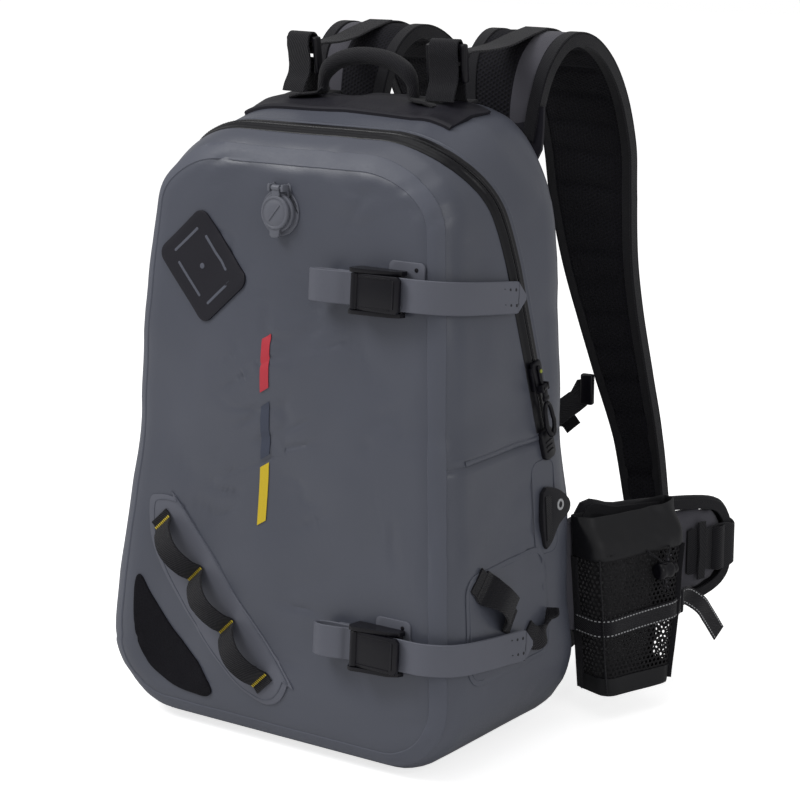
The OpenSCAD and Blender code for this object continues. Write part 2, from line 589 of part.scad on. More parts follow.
gusset_lower();
gusset_rear();
back_panel();
front_panel_lower();
front_fold();
flap_gusset();
flap_panel();
base_boot();
frame_sheet();
zip_tape_flap();
zip_tape_rear();
zip_dock_left();
zip_dock_right();
zip_slider();
zip_pull();
valve_body();
valve_cap();
lash_patch();
upper_strap_base();
upper_strap();
upper_buckle();
upper_lever();
lower_strap_base();
lower_strap();
lower_buckle();
lower_lever();
tool_patch();
tool_webbing();
tool_bartacks();
fly_patch();
rod_patch();
rod_holder();
side_tab_right();
side_tab_left();
top_reinforcement();
grab_handle();
lifter_left();
lifter_right();
back_pads();
strap_left();
strap_right();
ladderlock_left();
ladderlock_right();
lower_webbing_left();
lower_webbing_right();
sternum_left();
sternum_right();
wing_left();
wing_right();
wing_webbing_left();
wing_webbing_right();
pouch_body();
pouch_collar();
pouch_band();
cord_lock();
cord_button();
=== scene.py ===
"""Looks of a welded waterproof tackle backpack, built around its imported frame.

Shapes are worked out in millimetres and made metres when a piece is finished.
"""

import logging
import math
from dataclasses import dataclass
from enum import Enum
from math import atan, cos, exp, hypot, pi, radians, sin, tau
from typing import Callable, Iterable, Sequence

import bmesh
import bpy
from mathutils import Matrix, Vector, noise


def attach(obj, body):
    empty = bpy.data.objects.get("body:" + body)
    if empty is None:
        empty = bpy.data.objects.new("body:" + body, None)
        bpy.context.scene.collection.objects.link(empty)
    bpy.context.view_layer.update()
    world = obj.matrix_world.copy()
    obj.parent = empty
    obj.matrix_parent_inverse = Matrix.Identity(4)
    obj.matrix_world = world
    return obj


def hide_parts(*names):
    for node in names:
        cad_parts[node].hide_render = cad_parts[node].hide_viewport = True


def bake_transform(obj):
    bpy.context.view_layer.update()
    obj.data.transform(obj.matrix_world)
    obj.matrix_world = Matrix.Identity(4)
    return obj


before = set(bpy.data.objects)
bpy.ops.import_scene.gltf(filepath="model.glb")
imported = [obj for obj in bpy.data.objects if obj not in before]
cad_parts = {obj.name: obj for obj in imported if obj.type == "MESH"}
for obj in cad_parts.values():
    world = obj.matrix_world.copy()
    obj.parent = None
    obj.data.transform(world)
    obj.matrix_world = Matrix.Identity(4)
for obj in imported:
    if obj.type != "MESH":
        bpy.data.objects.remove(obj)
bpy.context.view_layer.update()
LOG = logging.getLogger("backpack")
Path2 = Sequence[tuple[float, float]]
Outline = tuple[tuple[float, float], ...]
Warp = Callable[[Vector], Vector]
Vert, Face, Socket = bmesh.types.BMVert, bmesh.types.BMFace, bpy.types.NodeSocket
RIGHT, REAR, UP = Vector((1, 0, 0)), Vector((0, 1, 0)), Vector((0, 0, 1))


def moved(x: float, y: float, z: float) -> Matrix:
    """A move along X, Y and Z."""
    return Matrix.Translation((x, y, z))


def turned(degrees: float, axis: str) -> Matrix:
    """A rotation about X, Y or Z."""
    return Matrix.Rotation(radians(degrees), 4, axis)


def heading(path: Sequence[Vector], i: int) -> Vector:
    """Direction of a path at one of its points."""
    return (path[min(i + 1, len(path) - 1)] - path[max(i - 1, 0)]).normalized()


# ---------------------------------------------------------------- node graphs
class Graph:
    """A small helper that adds and joins nodes in one tree."""

    def __init__(self, tree: bpy.types.NodeTree) -> None:
        """Keep the tree that nodes are added to."""
        self.tree = tree

    def fill(self, node: bpy.types.Node, **sockets: object) -> bpy.types.Node:
        """Set inputs of a node, or join them to other sockets.

        Args:
            node: The node.
            **sockets: Values or source sockets; s0, s1 name inputs by number.

        Returns:
            The same node.
        """
        for key, value in sockets.items():
            slot = node.inputs[int(key[1:]) if key[1:].isdigit() else key.replace("_", " ")]
            if isinstance(value, Socket):
                self.tree.links.new(value, slot)
            else:
                slot.default_value = value
        return node

    def add(self, kind: str, settings: dict | None = None, **sockets: object) -> bpy.types.Node:
        """Add a node of a kind, with its settings and inputs."""
        node = self.tree.nodes.new("ShaderNode" + kind)
        for key, value in (settings or {}).items():
            setattr(node, key, value)
        return self.fill(node, **sockets)

    def math(self, operation: str, *values: object) -> Socket:
        """Add a Math node and return its result."""
        named = {f"s{i}": v for i, v in enumerate(values)}
        return self.add("Math", {"operation": operation}, **named).outputs[0]

    def vector(self, operation: str, *values: object) -> bpy.types.Node:
        """Add a Vector Math node."""
        named = {f"s{i}": v for i, v in enumerate(values)}
        return self.add("VectorMath", {"operation": operation}, **named)

    def remap(self, value: Socket, low: float, high: float, to_low: float, to_high: float) -> Socket:
        """Map a value from one range to another, with smooth ends."""
        node = self.add("MapRange", {"interpolation_type": "SMOOTHSTEP"}, s0=value, s1=low, s2=high, s3=to_low,
                        s4=to_high)
        return node.outputs[0]

    def mix(self, factor: object, a: object, b: object) -> Socket:
        """Mix two colours."""
        return self.add("Mix", {"data_type": "RGBA"}, s0=factor, s6=a, s7=b).outputs[2]

    def group(self, tree: bpy.types.NodeTree, **sockets: object) -> bpy.types.Node:
        """Place a node group with its own values."""
        return self.add("Group", {"node_tree": tree}, **sockets)


def new_group(name: str, inputs: dict[str, tuple[str, object]],
              outputs: dict[str, str]) -> tuple[Graph, bpy.types.Node, bpy.types.Node]:
    """Start a shader node group.

    Args:
        name: The group's name.
        inputs: Socket name to its kind and default value.
        outputs: Socket name to its kind.

    Returns:
        The graph, the group's input node and its output node.
    """
    tree = bpy.data.node_groups.new(name, "ShaderNodeTree")
    for key, (kind, value) in inputs.items():
        socket = tree.interface.new_socket(name=key, in_out="INPUT", socket_type="NodeSocket" + kind)
        if value is not None:
            socket.default_value = value
    for key, kind in outputs.items():
        tree.interface.new_socket(name=key, in_out="OUTPUT", socket_type="NodeSocket" + kind)
    return Graph(tree), tree.nodes.new("NodeGroupInput"), tree.nodes.new("NodeGroupOutput")


class Effects:
    """Node groups that several finishes share."""

    def __init__(self) -> None:
        """Build every group once."""
        self.grain = self._grain()
        self.rib = self._rib()
        self.net = self._net()

    def _grain(self) -> bpy.types.NodeTree:
        """Cloudy tone, fine grain and a soft height, from Object coordinates."""
        g, given, out = new_group("cloth_grain", {"Vector": ("Vector", None), "Fine": ("Float", 900.0),
                                                  "Broad": ("Float", 7.0)},
                                  {"Tone": "Float", "Grain": "Float", "Height": "Float"})
        broad = g.add("TexNoise", s0=given.outputs["Vector"], Scale=given.outputs["Broad"], Detail=3.0)
        fine = g.add("TexNoise", s0=given.outputs["Vector"], Scale=given.outputs["Fine"], Detail=2.0)
        tone = g.remap(broad.outputs[0], 0.3, 0.7, 0.0, 1.0)
        grain = g.remap(fine.outputs[0], 0.3, 0.7, 0.0, 1.0)
        height = g.math("MULTIPLY_ADD", fine.outputs[0], 0.5, g.math("MULTIPLY", broad.outputs[0], 0.5))
        g.fill(out, Tone=tone, Grain=grain, Height=height)
        return g.tree

    def _rib(self) -> bpy.types.NodeTree:
        """Woven ribs of webbing from a UV map in millimetres: u along, v across; the second output masks the
        valleys between ribs that get painted shade.
        """
        g, given, out = new_group("woven_rib", {"Vector": ("Vector", None), "Pitch": ("Float", 1.6)},
                                  {"Height": "Float", "Gap": "Float"})
        split = g.add("SeparateXYZ", s0=given.outputs["Vector"])
        step = g.math("DIVIDE", 6.28318, given.outputs["Pitch"])
        along = g.math("SINE", g.math("MULTIPLY", split.outputs[0], step))
        across = g.math("SINE", g.math("MULTIPLY", g.math("MULTIPLY_ADD", split.outputs[0], 0.5, split.outputs[1]),
                                       step))
        height = g.math("MULTIPLY_ADD", g.math("MULTIPLY", along, across), 0.5, 0.5)
        g.fill(out, Height=height, Gap=g.remap(height, 0.0, 0.45, 1.0, 0.0))
        return g.tree

    def _net(self) -> bpy.types.NodeTree:
        """Round holes in a honeycomb, from a UV map in millimetres."""
        g, given, out = new_group("honeycomb", {"Vector": ("Vector", None), "Pitch": ("Float", 4.0),
                                                "Hole": ("Float", 0.36)}, {"Hole": "Float", "Height": "Float"})
        scaled = g.vector("SCALE", given.outputs["Vector"])
        g.fill(scaled, Scale=g.math("DIVIDE", 1.0, given.outputs["Pitch"]))
        cell = (1.0, 1.7320508, 1.0)
        half = (0.5, 0.8660254, 0.5)
        lifted = g.vector("ADD", scaled.outputs[0], (500.0, 866.0254, 0.0))
        dist = []
        for shift in ((0.0, 0.0, 0.0), half):
            wrapped = g.vector("MODULO", g.vector("ADD", lifted.outputs[0], shift).outputs[0], cell)
            centred = g.vector("SUBTRACT", wrapped.outputs[0], half)
            flat = g.vector("MULTIPLY", centred.outputs[0], (1.0, 1.0, 0.0))
            dist.append(g.vector("LENGTH", flat.outputs[0]).outputs["Value"])
        near = g.math("MINIMUM", dist[0], dist[1])
        edge = g.math("SUBTRACT", near, given.outputs["Hole"])
        g.fill(out, Hole=g.remap(edge, -0.03, 0.03, 1.0, 0.0), Height=g.remap(edge, -0.12, 0.12, 0.0, 1.0))
        return g.tree


class Pattern(Enum):
    """Where a finish takes its small pattern from."""

    GRAIN = "grain"
    RIB = "rib"
    NET = "net"
    PILE = "pile"
    THREAD = "thread"


@dataclass(frozen=True)
class Finish:
    """One material: colour, gloss and the small pattern on it."""

    name: str
    colour: tuple[int, int, int]
    rough: float = 0.5
    pattern: Pattern = Pattern.GRAIN
    pitch: float = 1.6
    hole: float = 0.36
    depth: float = 0.25
    fine: float = 900.0
    broad: float = 7.0
    vary: float = 0.10
    speck: float = 0.06
    coat: float = 0.0
    sheen: float = 0.0
    spec: float = 0.3
    see_through: bool = False
    # Colour whose dim copy is painted as shade in rib valleys and mesh holes; the own colour if None.
    gap_shade_colour: tuple[int, int, int] | None = None

    def linear(self, scale: float = 1.0,
               colour: tuple[int, int, int] | None = None) -> tuple[float, float, float, float]:
        """The colour as linear values, scaled."""
        out = []
        for c in colour or self.colour:
            v = c / 255.0
            out.append(min(1.0, scale * (v / 12.92 if v <= 0.04045 else ((v + 0.055) / 1.055) ** 2.4)))
        return (out[0], out[1], out[2], 1.0)

    def build(self, effects: Effects) -> bpy.types.Material:
        """Make the material.

        Args:
            effects: The shared node groups.

        Returns:
            The new material.
        """
        mat = bpy.data.materials.new(self.name)
        mat.use_nodes = True
        g = Graph(mat.node_tree)
        shader = mat.node_tree.nodes["Principled BSDF"]
        place = g.add("TexCoord").outputs["Object"]
        grain = g.group(effects.grain, Vector=place, Fine=self.fine, Broad=self.broad)
        colour = g.mix(grain.outputs["Tone"], self.linear(1.0 - self.vary), self.linear(1.0 + self.vary))
        colour = g.mix(g.math("MULTIPLY", grain.outputs["Grain"], self.speck * 4.0), colour,
                       self.linear(1.0 + 2.2 * self.vary))
        height = grain.outputs["Height"]
        if self.pattern in (Pattern.RIB, Pattern.THREAD, Pattern.NET):
            cloth = g.add("UVMap", {"uv_map": "cloth"}).outputs[0]
        if self.pattern in (Pattern.RIB, Pattern.THREAD):
            rib = g.group(effects.rib, Vector=cloth, Pitch=self.pitch)
            # Painted shade: the valleys between ribs are mixed towards a dim copy of the colour, standing in for
            # the shade that falls there.
            valley_shade = self.linear(0.45, self.gap_shade_colour or self.colour)
            colour = g.mix(g.math("MULTIPLY", rib.outputs["Gap"], 0.7), colour, valley_shade)
            height = g.math("MULTIPLY_ADD", height, 0.2, rib.outputs["Height"])
        if self.pattern is Pattern.NET:
            net = g.group(effects.net, Vector=cloth, Pitch=self.pitch, Hole=self.hole)
            if self.see_through:
                g.fill(shader, Alpha=g.math("SUBTRACT", 1.0, net.outputs["Hole"]))
            else:
                # Painted shade: the holes of a mesh that is not see-through are mixed towards a dim copy of its
                # colour, standing in for the shade inside them.
                colour = g.mix(net.outputs["Hole"], colour, self.linear(0.35, self.gap_shade_colour or self.colour))
            height = g.math("MULTIPLY_ADD", height, 0.15, net.outputs["Height"])
        if self.pattern is Pattern.PILE:
            fuzz = g.add("TexNoise", s0=place, Scale=650.0, Detail=6.0, Roughness=0.75)
            colour = g.mix(g.remap(fuzz.outputs[0], 0.4, 0.75, 0.0, 1.0), colour, self.linear(1.7))
            height = fuzz.outputs[0]
        rough = g.math("MULTIPLY_ADD", grain.outputs["Grain"], 0.10, self.rough - 0.05)
        bump = g.add("Bump", Strength=min(1.0, self.depth), Distance=0.001, Height=height)
        g.fill(shader, Base_Color=colour, Roughness=rough, Normal=bump.outputs[0], Specular_IOR_Level=self.spec,
               Coat_Weight=self.coat, Sheen_Weight=self.sheen)
        return mat


class Wardrobe:
    """Every finish of the backpack, built when it is first asked for."""

    FINISHES: tuple[Finish, ...] = (
        Finish("coated_cloth", (79, 82, 93), 0.38, spec=0.5, depth=0.10, vary=0.05, speck=0.05),
        Finish("coated_inside", (70, 71, 78), 0.6, depth=0.2, vary=0.08),
        Finish("weld_film", (88, 91, 102), 0.5, spec=0.35, depth=0.08, vary=0.04, speck=0.04),
        Finish("strap_film", (98, 100, 110), 0.5, depth=0.14, vary=0.05),
        Finish("zip_laminate", (8, 8, 14), 0.36, depth=0.12, vary=0.15, fine=500.0),
        Finish("black_acetal", (14, 13, 20), 0.36, depth=0.16, fine=1400.0, vary=0.12),
        Finish("grey_acetal", (104, 106, 115), 0.42, depth=0.12, fine=1200.0, vary=0.05),
        Finish("patch_rubber", (28, 27, 35), 0.55, depth=0.25, fine=1500.0, vary=0.08),
        Finish("fly_pile", (11, 10, 17), 0.95, Pattern.PILE, depth=0.9),
        Finish("black_webbing", (11, 10, 19), 0.72, Pattern.RIB, pitch=1.9, depth=0.7, sheen=0.1),
        Finish("spacer_mesh", (10, 9, 19), 0.85, Pattern.NET, pitch=3.6, hole=0.30, depth=0.8),
        Finish("pad_cloth", (77, 76, 84), 0.8, Pattern.RIB, pitch=1.1, depth=0.4, sheen=0.15, vary=0.07),
        Finish("binding", (10, 9, 18), 0.7, Pattern.RIB, pitch=1.3, depth=0.5, sheen=0.1),
        Finish("pouch_net", (22, 21, 24), 0.8, Pattern.NET, pitch=4.4, hole=0.30, depth=0.6, see_through=True),
        Finish("pouch_lining", (82, 82, 84), 0.85, depth=0.4, vary=0.2),
        Finish("ripstop", (27, 27, 30), 0.5, Pattern.RIB, pitch=2.6, depth=0.25, vary=0.12),
        Finish("reflective", (176, 177, 180), 0.35, Pattern.THREAD, pitch=1.2, depth=0.4, vary=0.1),
        Finish("yellow_thread", (206, 182, 58), 0.7, Pattern.THREAD, pitch=1.0, depth=0.9, vary=0.12),
        Finish("red_print", (190, 58, 70), 0.5, depth=0.1, vary=0.06),
        Finish("slate_print", (66, 71, 86), 0.5, depth=0.1, vary=0.05),
        Finish("yellow_print", (214, 186, 46), 0.5, depth=0.1, vary=0.06),
        Finish("boot_rubber", (27, 27, 31), 0.7, depth=0.5, fine=420.0),
        Finish("board", (44, 44, 48), 0.6, depth=0.2),
        Finish("lime_dot", (150, 158, 60), 0.5, depth=0.2),
    )

    def __init__(self) -> None:
        """Prepare the shared effects and an empty rail."""
        self.effects = Effects()
        self.made: dict[str, bpy.types.Material] = {}

    def get(self, name: str) -> bpy.types.Material:
        """The material of that name."""
        if name not in self.made:
            finish = next(f for f in self.FINISHES if f.name == name)
            self.made[name] = finish.build(self.effects)
        return self.made[name]


WARDROBE = Wardrobe()


# ------------------------------------------------------------------ the bench
class Bench:
    """Shared ways of shaping a bmesh and finishing it as an object."""

    def __init__(self, flip: bool = False) -> None:
        """Start with an empty mesh; flip makes every piece its mirror image across X."""
        self.flip = flip
        self.clear()

    def clear(self) -> None:
        """Take up an empty mesh with no cloth map."""
        self.bm = bmesh.new()
        self.cloth = self.bm.loops.layers.uv.new("cloth")
        self.marks: dict[Vert, tuple[float, float]] = {}

    def row(self, places: Iterable[Vector], closed: bool) -> list[Vert]:
        """Add a chain of joined vertices."""
        verts = [self.bm.verts.new(p) for p in places]
        for a, b in zip(verts, verts[1:]):
            self.bm.edges.new((a, b))
        if closed:
            self.bm.edges.new((verts[-1], verts[0]))
        return verts

    def extrude_row(self, row: Sequence[Vert], places: Sequence[Vector], closed: bool) -> list[Vert]:
        """Extrude a chain of edges and set the new chain down at its places.

        Args:
            row: The chain's vertices in order.
            places: One place for each vertex of the new chain.
            closed: Whether the chain is a loop.

        Returns:
            The new chain's vertices, in the same order.
        """
        pairs = list(zip(row, row[1:])) + ([(row[-1], row[0])] if closed else [])
        edges = [self.bm.edges.get(p) for p in pairs]
        made = bmesh.ops.extrude_edge_only(self.bm, edges=edges)["geom"]
        fresh = {g for g in made if isinstance(g, Vert)}
        out = []
        for vert, place in zip(row, places):
            new = next(e.other_vert(vert) for e in vert.link_edges if e.other_vert(vert) in fresh)
            new.co = place
            out.append(new)
        return out

    def loft(self, rings: Sequence[Sequence[Vector]], closed: bool = True, caps: bool = True,
             marks: Sequence[Sequence[tuple[float, float]]] | None = None, lid: bool = False,
             wrap: bool = False) -> None:
        """Extrude the first ring through all the others.

        Args:
            rings: Rings of equally many points.
            closed: Whether each ring is a loop.
            caps: Whether the two ends are filled.
            marks: Cloth map values of each point, in millimetres.
            lid: Whether only the last end is filled.
            wrap: Whether the last ring is joined to the first, with no ends.
        """
        rows = [self.row(rings[0], closed)]
        for ring in [*rings[1:], *rings[:1]] if wrap else rings[1:]:
            rows.append(self.extrude_row(rows[-1], ring, closed))
        if closed and not wrap:
            for end in [rows[0], rows[-1]] * caps + rows[-1:] * lid:
                self.bm.faces.new(end)
        for verts, values in zip(rows, [*marks, marks[0]] if marks else ()):
            self.marks.update(zip(verts, values))
        if wrap:
            bmesh.ops.remove_doubles(self.bm, verts=self.bm.verts, dist=1e-4)

    def round_off(self, verts: list[Vert], edges: list, offset: float, segments: int = 2) -> list[Vert]:
        """Bevel edges of a shape, and return the shape's vertices."""
        made = bmesh.ops.bevel(self.bm, geom=edges, offset=offset, segments=segments, affect="EDGES", profile=0.5,
                               material=-1, clamp_overlap=True)
        return list({v for f in made["faces"] for v in f.verts} | {v for v in verts if v.is_valid})

    def put(self, verts: list[Vert], at: Sequence[float], turn: Matrix | None) -> list[Vert]:
        """Turn a shape and set it down at a point."""
        if turn is not None:
            bmesh.ops.transform(self.bm, matrix=turn, verts=verts)
        bmesh.ops.translate(self.bm, vec=Vector(at), verts=verts)
        return verts

    def spin(self, profile: Path2, steps: int, closed: bool = False) -> list[Vert]:
        """Spin a profile of radius and height round local Z."""
        before = set(self.bm.verts)
        row = self.row([Vector((r, 0, z)) for r, z in profile], closed)
        edges = [self.bm.edges.get(p) for p in zip(row, row[1:] + row[:1] * closed)]
        bmesh.ops.spin(self.bm, geom=row + edges, cent=(0, 0, 0), axis=(0, 0, 1), angle=tau, steps=steps,
                       use_merge=True)
        return [v for v in self.bm.verts if v not in before]

    def block(self, size: Sequence[float], at: Sequence[float] = (0, 0, 0), bevel: float = 0.8, segments: int = 2,
              turn: Matrix | None = None) -> list[Vert]:
        """Add a box with rounded edges, centred on a point."""
        verts = bmesh.ops.create_cube(self.bm, size=1.0)["verts"]
        bmesh.ops.scale(self.bm, vec=Vector(size), verts=verts)
        if bevel > 0:
            verts = self.round_off(verts, list({e for v in verts for e in v.link_edges}),
                                   min(bevel, min(size) * 0.49), segments)
        return self.put(verts, at, turn)

    def disc(self, radius: float, depth: float, at: Sequence[float], turn: Matrix | None = None,
             bevel: float = 0.5, segments: int = 32, radius2: float | None = None) -> list[Vert]:
        """Add a short cylinder or cone with a rounded rim."""
        verts = bmesh.ops.create_cone(self.bm, cap_ends=True, segments=segments, radius1=radius,
                                      radius2=radius if radius2 is None else radius2, depth=depth)["verts"]
        if bevel > 0:
            edges = [e for e in {e for v in verts for e in v.link_edges} if len(e.link_faces) == 2
                     and e.calc_face_angle(0) > 0.6]
            verts = self.round_off(verts, edges, bevel)
        return self.put(verts, at, turn)

    def ring(self, inner: float, outer: float, low: float, high: float, at: Sequence[float],
             turn: Matrix | None = None, steps: int = 40, bevel: float = 0.4) -> list[Vert]:
        """Spin a rectangle round local Z into a washer."""
        b = min(bevel, (outer - inner) * 0.3, (high - low) * 0.3)
        corners = [(inner + b, low), (outer - b, low), (outer, low + b), (outer, high - b), (outer - b, high),
                   (inner + b, high), (inner, high - b), (inner, low + b)]
        return self.put(self.spin(corners, steps, True), at, turn)

    def plate(self, outline: Path2, low: float, high: float, bevel: float = 0.4, grid: float = 0.0) -> list[Vert]:
        """Extrude a flat outline into a plate with a rounded top edge.

        Args:
            outline: Points of the outline in the local XY plane.
            low: Local Z of the underside.
            high: Local Z of the top.
            bevel: Rounding of the top edge.
            grid: Spacing of cuts that let the plate bend, or 0.

        Returns:
            The plate's vertices.
        """
        face = self.bm.faces.new([self.bm.verts.new((x, y, low)) for x, y in outline])
        up = bmesh.ops.extrude_face_region(self.bm, geom=[face])["geom"]
        top = [v for v in up if isinstance(v, Vert)]
        bmesh.ops.translate(self.bm, vec=(0, 0, high - low), verts=top)
        verts = list({v for t in top for e in t.link_edges for v in e.verts})
        if bevel > 0:
            rim = [e for e in {e for v in top for e in v.link_edges} if all(v in top for v in e.verts)]
            verts = self.round_off(verts, rim, bevel)
        if grid > 0:
            xs, ys = [p[0] for p in outline], [p[1] for p in outline]
            for axis, values in ((0, xs), (1, ys)):
                cut = math.floor(min(values) / grid) * grid + grid
                while cut < max(values):
                    geom = set(verts) | {e for v in verts
                                         for e in v.link_edges} | {f for v in verts for f in v.link_faces}
                    co, no = [0.0, 0.0, 0.0], [0.0, 0.0, 0.0]
                    co[axis], no[axis] = cut, 1.0
                    made = bmesh.ops.bisect_plane(self.bm, geom=list(geom), plane_co=co, plane_no=no)["geom_cut"]
                    verts = list(set(verts) | {v for v in made if isinstance(v, Vert)})
                    cut += grid
        return verts

    def strip(self, path: Sequence[Vector], across: Sequence[Vector] | Vector, width: Sequence[float] | float,
              thick: float, round_to: float = 0.35) -> None:
        """Lay a flat strap of thin section along a path.

        Args:
            path: Points of the centre line.
            across: One width direction, or one at each point.
            width: One width, or one at each point.
            thick: Thickness of the strap.
            round_to: Rounding of its long edges, as a share of the thickness.
        """
        widths = [width] * len(path) if isinstance(width, (int, float)) else width
        ways = [across] * len(path) if isinstance(across, Vector) else across
        rings, marks, run = [], [], 0.0
        for i, here in enumerate(path):
            ahead = heading(path, i)
            side = (ways[i] - ahead * ways[i].dot(ahead)).normalized()
            up = ahead.cross(side).normalized()
            run += (here - path[i - 1]).length if i else 0.0
            w, t, r = widths[i] / 2, thick / 2, thick * round_to
            shape = [(-w, 0), (-w + r, t), (-w * 0.5, t), (0, t), (w * 0.5, t), (w - r, t), (w, 0), (w - r, -t),
                     (w * 0.5, -t), (0, -t), (-w * 0.5, -t), (-w + r, -t)]
            rings.append([here + side * a + up * b for a, b in shape])
            marks.append([(run, a) for a, _ in shape])
        self.loft(rings, marks=marks)

    def tube(self, path: Sequence[Vector], radius: Sequence[float] | float, sides: int = 12,
             closed: bool = False) -> None:
        """Lay a round tube along a path."""
        radii = [radius] * len(path) if isinstance(radius, (int, float)) else list(radius)
        n, rings, marks, run, up = len(path), [], [], 0.0, None
        for i, here in enumerate(path):
            ahead = (path[(i + 1) % n] - path[i - 1]).normalized() if closed else heading(path, i)
            if up is None:
                up = ahead.orthogonal().normalized()
            up = (up - ahead * up.dot(ahead)).normalized()
            side = ahead.cross(up)
            run += (here - path[i - 1]).length if i else 0.0
            rings.append([here + (up * cos(a) + side * sin(a)) * radii[i]
                          for a in (tau * k / sides for k in range(sides))])
            marks.append([(run, tau * radii[i] * k / sides) for k in range(sides)])
        self.loft(rings, marks=marks, wrap=closed)

    def warp(self, change: Warp, verts: Iterable[Vert] | None = None) -> None:
        """Move vertices through a function of their place."""
        for v in list(verts) if verts is not None else self.bm.verts:
            if v.is_valid:
                v.co = change(v.co.copy())

    def move(self, matrix: Matrix, verts: Iterable[Vert] | None = None) -> None:
        """Transform vertices by a matrix."""
        bmesh.ops.transform(self.bm, matrix=matrix, verts=list(verts)
                            if verts is not None else list(self.bm.verts))

    def paint(self, index: int, test: Callable[[Face], bool]) -> None:
        """Give the faces that pass a test another material slot."""
        for f in self.bm.faces:
            if test(f):
                f.material_index = index

    def paint_new(self, before: set[Face], index: int) -> None:
        """Give every face made since `before` another material slot."""
        self.paint(index, lambda face: face not in before)

    def finish(self, name: str, finishes: Sequence[str] | str, body: str | None, slot: str,
               replaces: Sequence[str] = (), crease: float = 38.0, recalc: bool = True, soft: int = 0,
               wall: float = 0.0, blend: tuple[str, str, Vector, Vector] | None = None,
               padding: "Padding | None" = None) -> bpy.types.Object:
        """Turn the mesh into a piece in metres, and clear the bench.

        Args:
            name: The piece's name.
            finishes: Names of its materials, one for each material slot.
            body: The body it rides on, or None where a blend is given.
            slot: The record's material slot.
            replaces: CAD nodes that it stands for.
            crease: Edges sharper than this many degrees stay sharp.
            recalc: Whether the normals are recalculated.
            soft: Levels of subdivision.
            wall: Thickness given to an open skin, inwards.
            blend: Two bodies and the start and end of a bend between them; when given, the piece is baked in place
                and left unattached, with no bend made.
            padding: How the piece swells, if it is padded.

        Returns:
            The finished object.
        """
        bm = self.bm
        if self.flip:
            bmesh.ops.scale(bm, vec=(-1, 1, 1), verts=bm.verts)
            bmesh.ops.reverse_faces(bm, faces=bm.faces)
        if self.marks:
            for f in bm.faces:
                for loop in f.loops:
                    if loop.vert in self.marks:
                        loop[self.cloth].uv = self.marks[loop.vert]
        if recalc:
            bmesh.ops.recalc_face_normals(bm, faces=bm.faces)
        bmesh.ops.scale(bm, vec=(0.001, 0.001, 0.001), verts=bm.verts)
        for f in bm.faces:
            f.smooth = True
        for e in bm.edges:
            e.smooth = not (len(e.link_faces) == 2 and e.calc_face_angle(0) > radians(crease))
        mesh = bpy.data.meshes.new(name)
        bm.to_mesh(mesh)
        bm.free()
        self.clear()
        for each in [finishes] if isinstance(finishes, str) else finishes:
            mesh.materials.append(WARDROBE.get(each))
        piece = bpy.data.objects.new(name, mesh)
        bpy.context.scene.collection.objects.link(piece)
        if soft:
            mod = piece.modifiers.new("soft", "SUBSURF")
            mod.levels = mod.render_levels = soft
        if wall:
            mod = piece.modifiers.new("wall", "SOLIDIFY")
            mod.thickness, mod.offset, mod.material_offset = wall * 0.001, -1.0, 1
        if soft or wall:
            bake(piece)
        if padding:
            padding.swell(piece)
        if blend:
            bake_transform(piece)
        else:
            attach(piece, body)
        if replaces:
            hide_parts(*replaces)
        LOG.info("%s: %d faces", name, len(piece.data.polygons))
        return piece


def bake(piece: bpy.types.Object) -> None:
    """Apply every modifier of a piece to its mesh."""
    graph = bpy.context.evaluated_depsgraph_get()
    mesh = bpy.data.meshes.new_from_object(piece.evaluated_get(graph))
    old = piece.data
    piece.modifiers.clear()
    piece.data = mesh
    mesh.name = old.name
    bpy.data.meshes.remove(old)


@dataclass(frozen=True)
class Padding:
    """A short cloth simulation that fills a flat pad with foam."""

    cap: float = 5.0
    held: Callable[[Vector], bool] | None = None
    face: Callable[[Vector], int] | None = None
    fill: float = 0.6
    voxel: float = 0.005
    pressure: float = 4.0

    def swell(self, piece: bpy.types.Object) -> None:
        """Remesh the piece, let it swell, cap the movement and smooth it.

        Args:
            piece: The pad; its mesh is in metres.
        """
        remesh = piece.modifiers.new("remesh", "REMESH")
        remesh.mode, remesh.voxel_size, remesh.use_smooth_shade = "VOXEL", self.voxel, True
        bake(piece)
        start = [v.co.copy() for v in piece.data.vertices]
        pins = [i for i, co in enumerate(start) if self.held and self.held(co * 1000)]
        if pins:
            piece.vertex_groups.new(name="held").add(pins, 1.0, "REPLACE")
        cloth = piece.modifiers.new("foam", "CLOTH")
        cloth.settings.quality = 5
        cloth.settings.use_pressure = True
        cloth.settings.uniform_pressure_force = self.pressure
        cloth.settings.effector_weights.gravity = 0.0
        if pins:
            cloth.settings.vertex_group_mass = "held"
        scene = bpy.context.scene
        scene.frame_start, scene.frame_end = 1, 20
        cloth.point_cache.frame_start, cloth.point_cache.frame_end = 1, 20
        for step in range(1, 21):
            scene.frame_set(step)
        bake(piece)
        scene.frame_set(1)
        for vert, co in zip(piece.data.vertices, start):
            move = vert.co - co
            if move.length > self.cap * 0.001:
                vert.co = co + move.normalized() * self.cap * 0.001
        smooth = piece.modifiers.new("smooth", "SMOOTH")
        smooth.factor, smooth.iterations = 0.5, 4
        finer = piece.modifiers.new("finer", "SUBSURF")
        finer.levels = finer.render_levels = 1
        bake(piece)
        mesh = piece.data
        uv = mesh.uv_layers.get("cloth") or mesh.uv_layers.new(name="cloth")
        for face in mesh.polygons:
            face.use_smooth = True
            if self.face:
                face.material_index = self.face(face.normal)
            for k in face.loop_indices:
                co = mesh.vertices[mesh.loops[k].vertex_index].co * 1000
                uv.data[k].uv = (hypot(co.x, co.y) if abs(face.normal.z) < 0.7 else co.x, co.z)


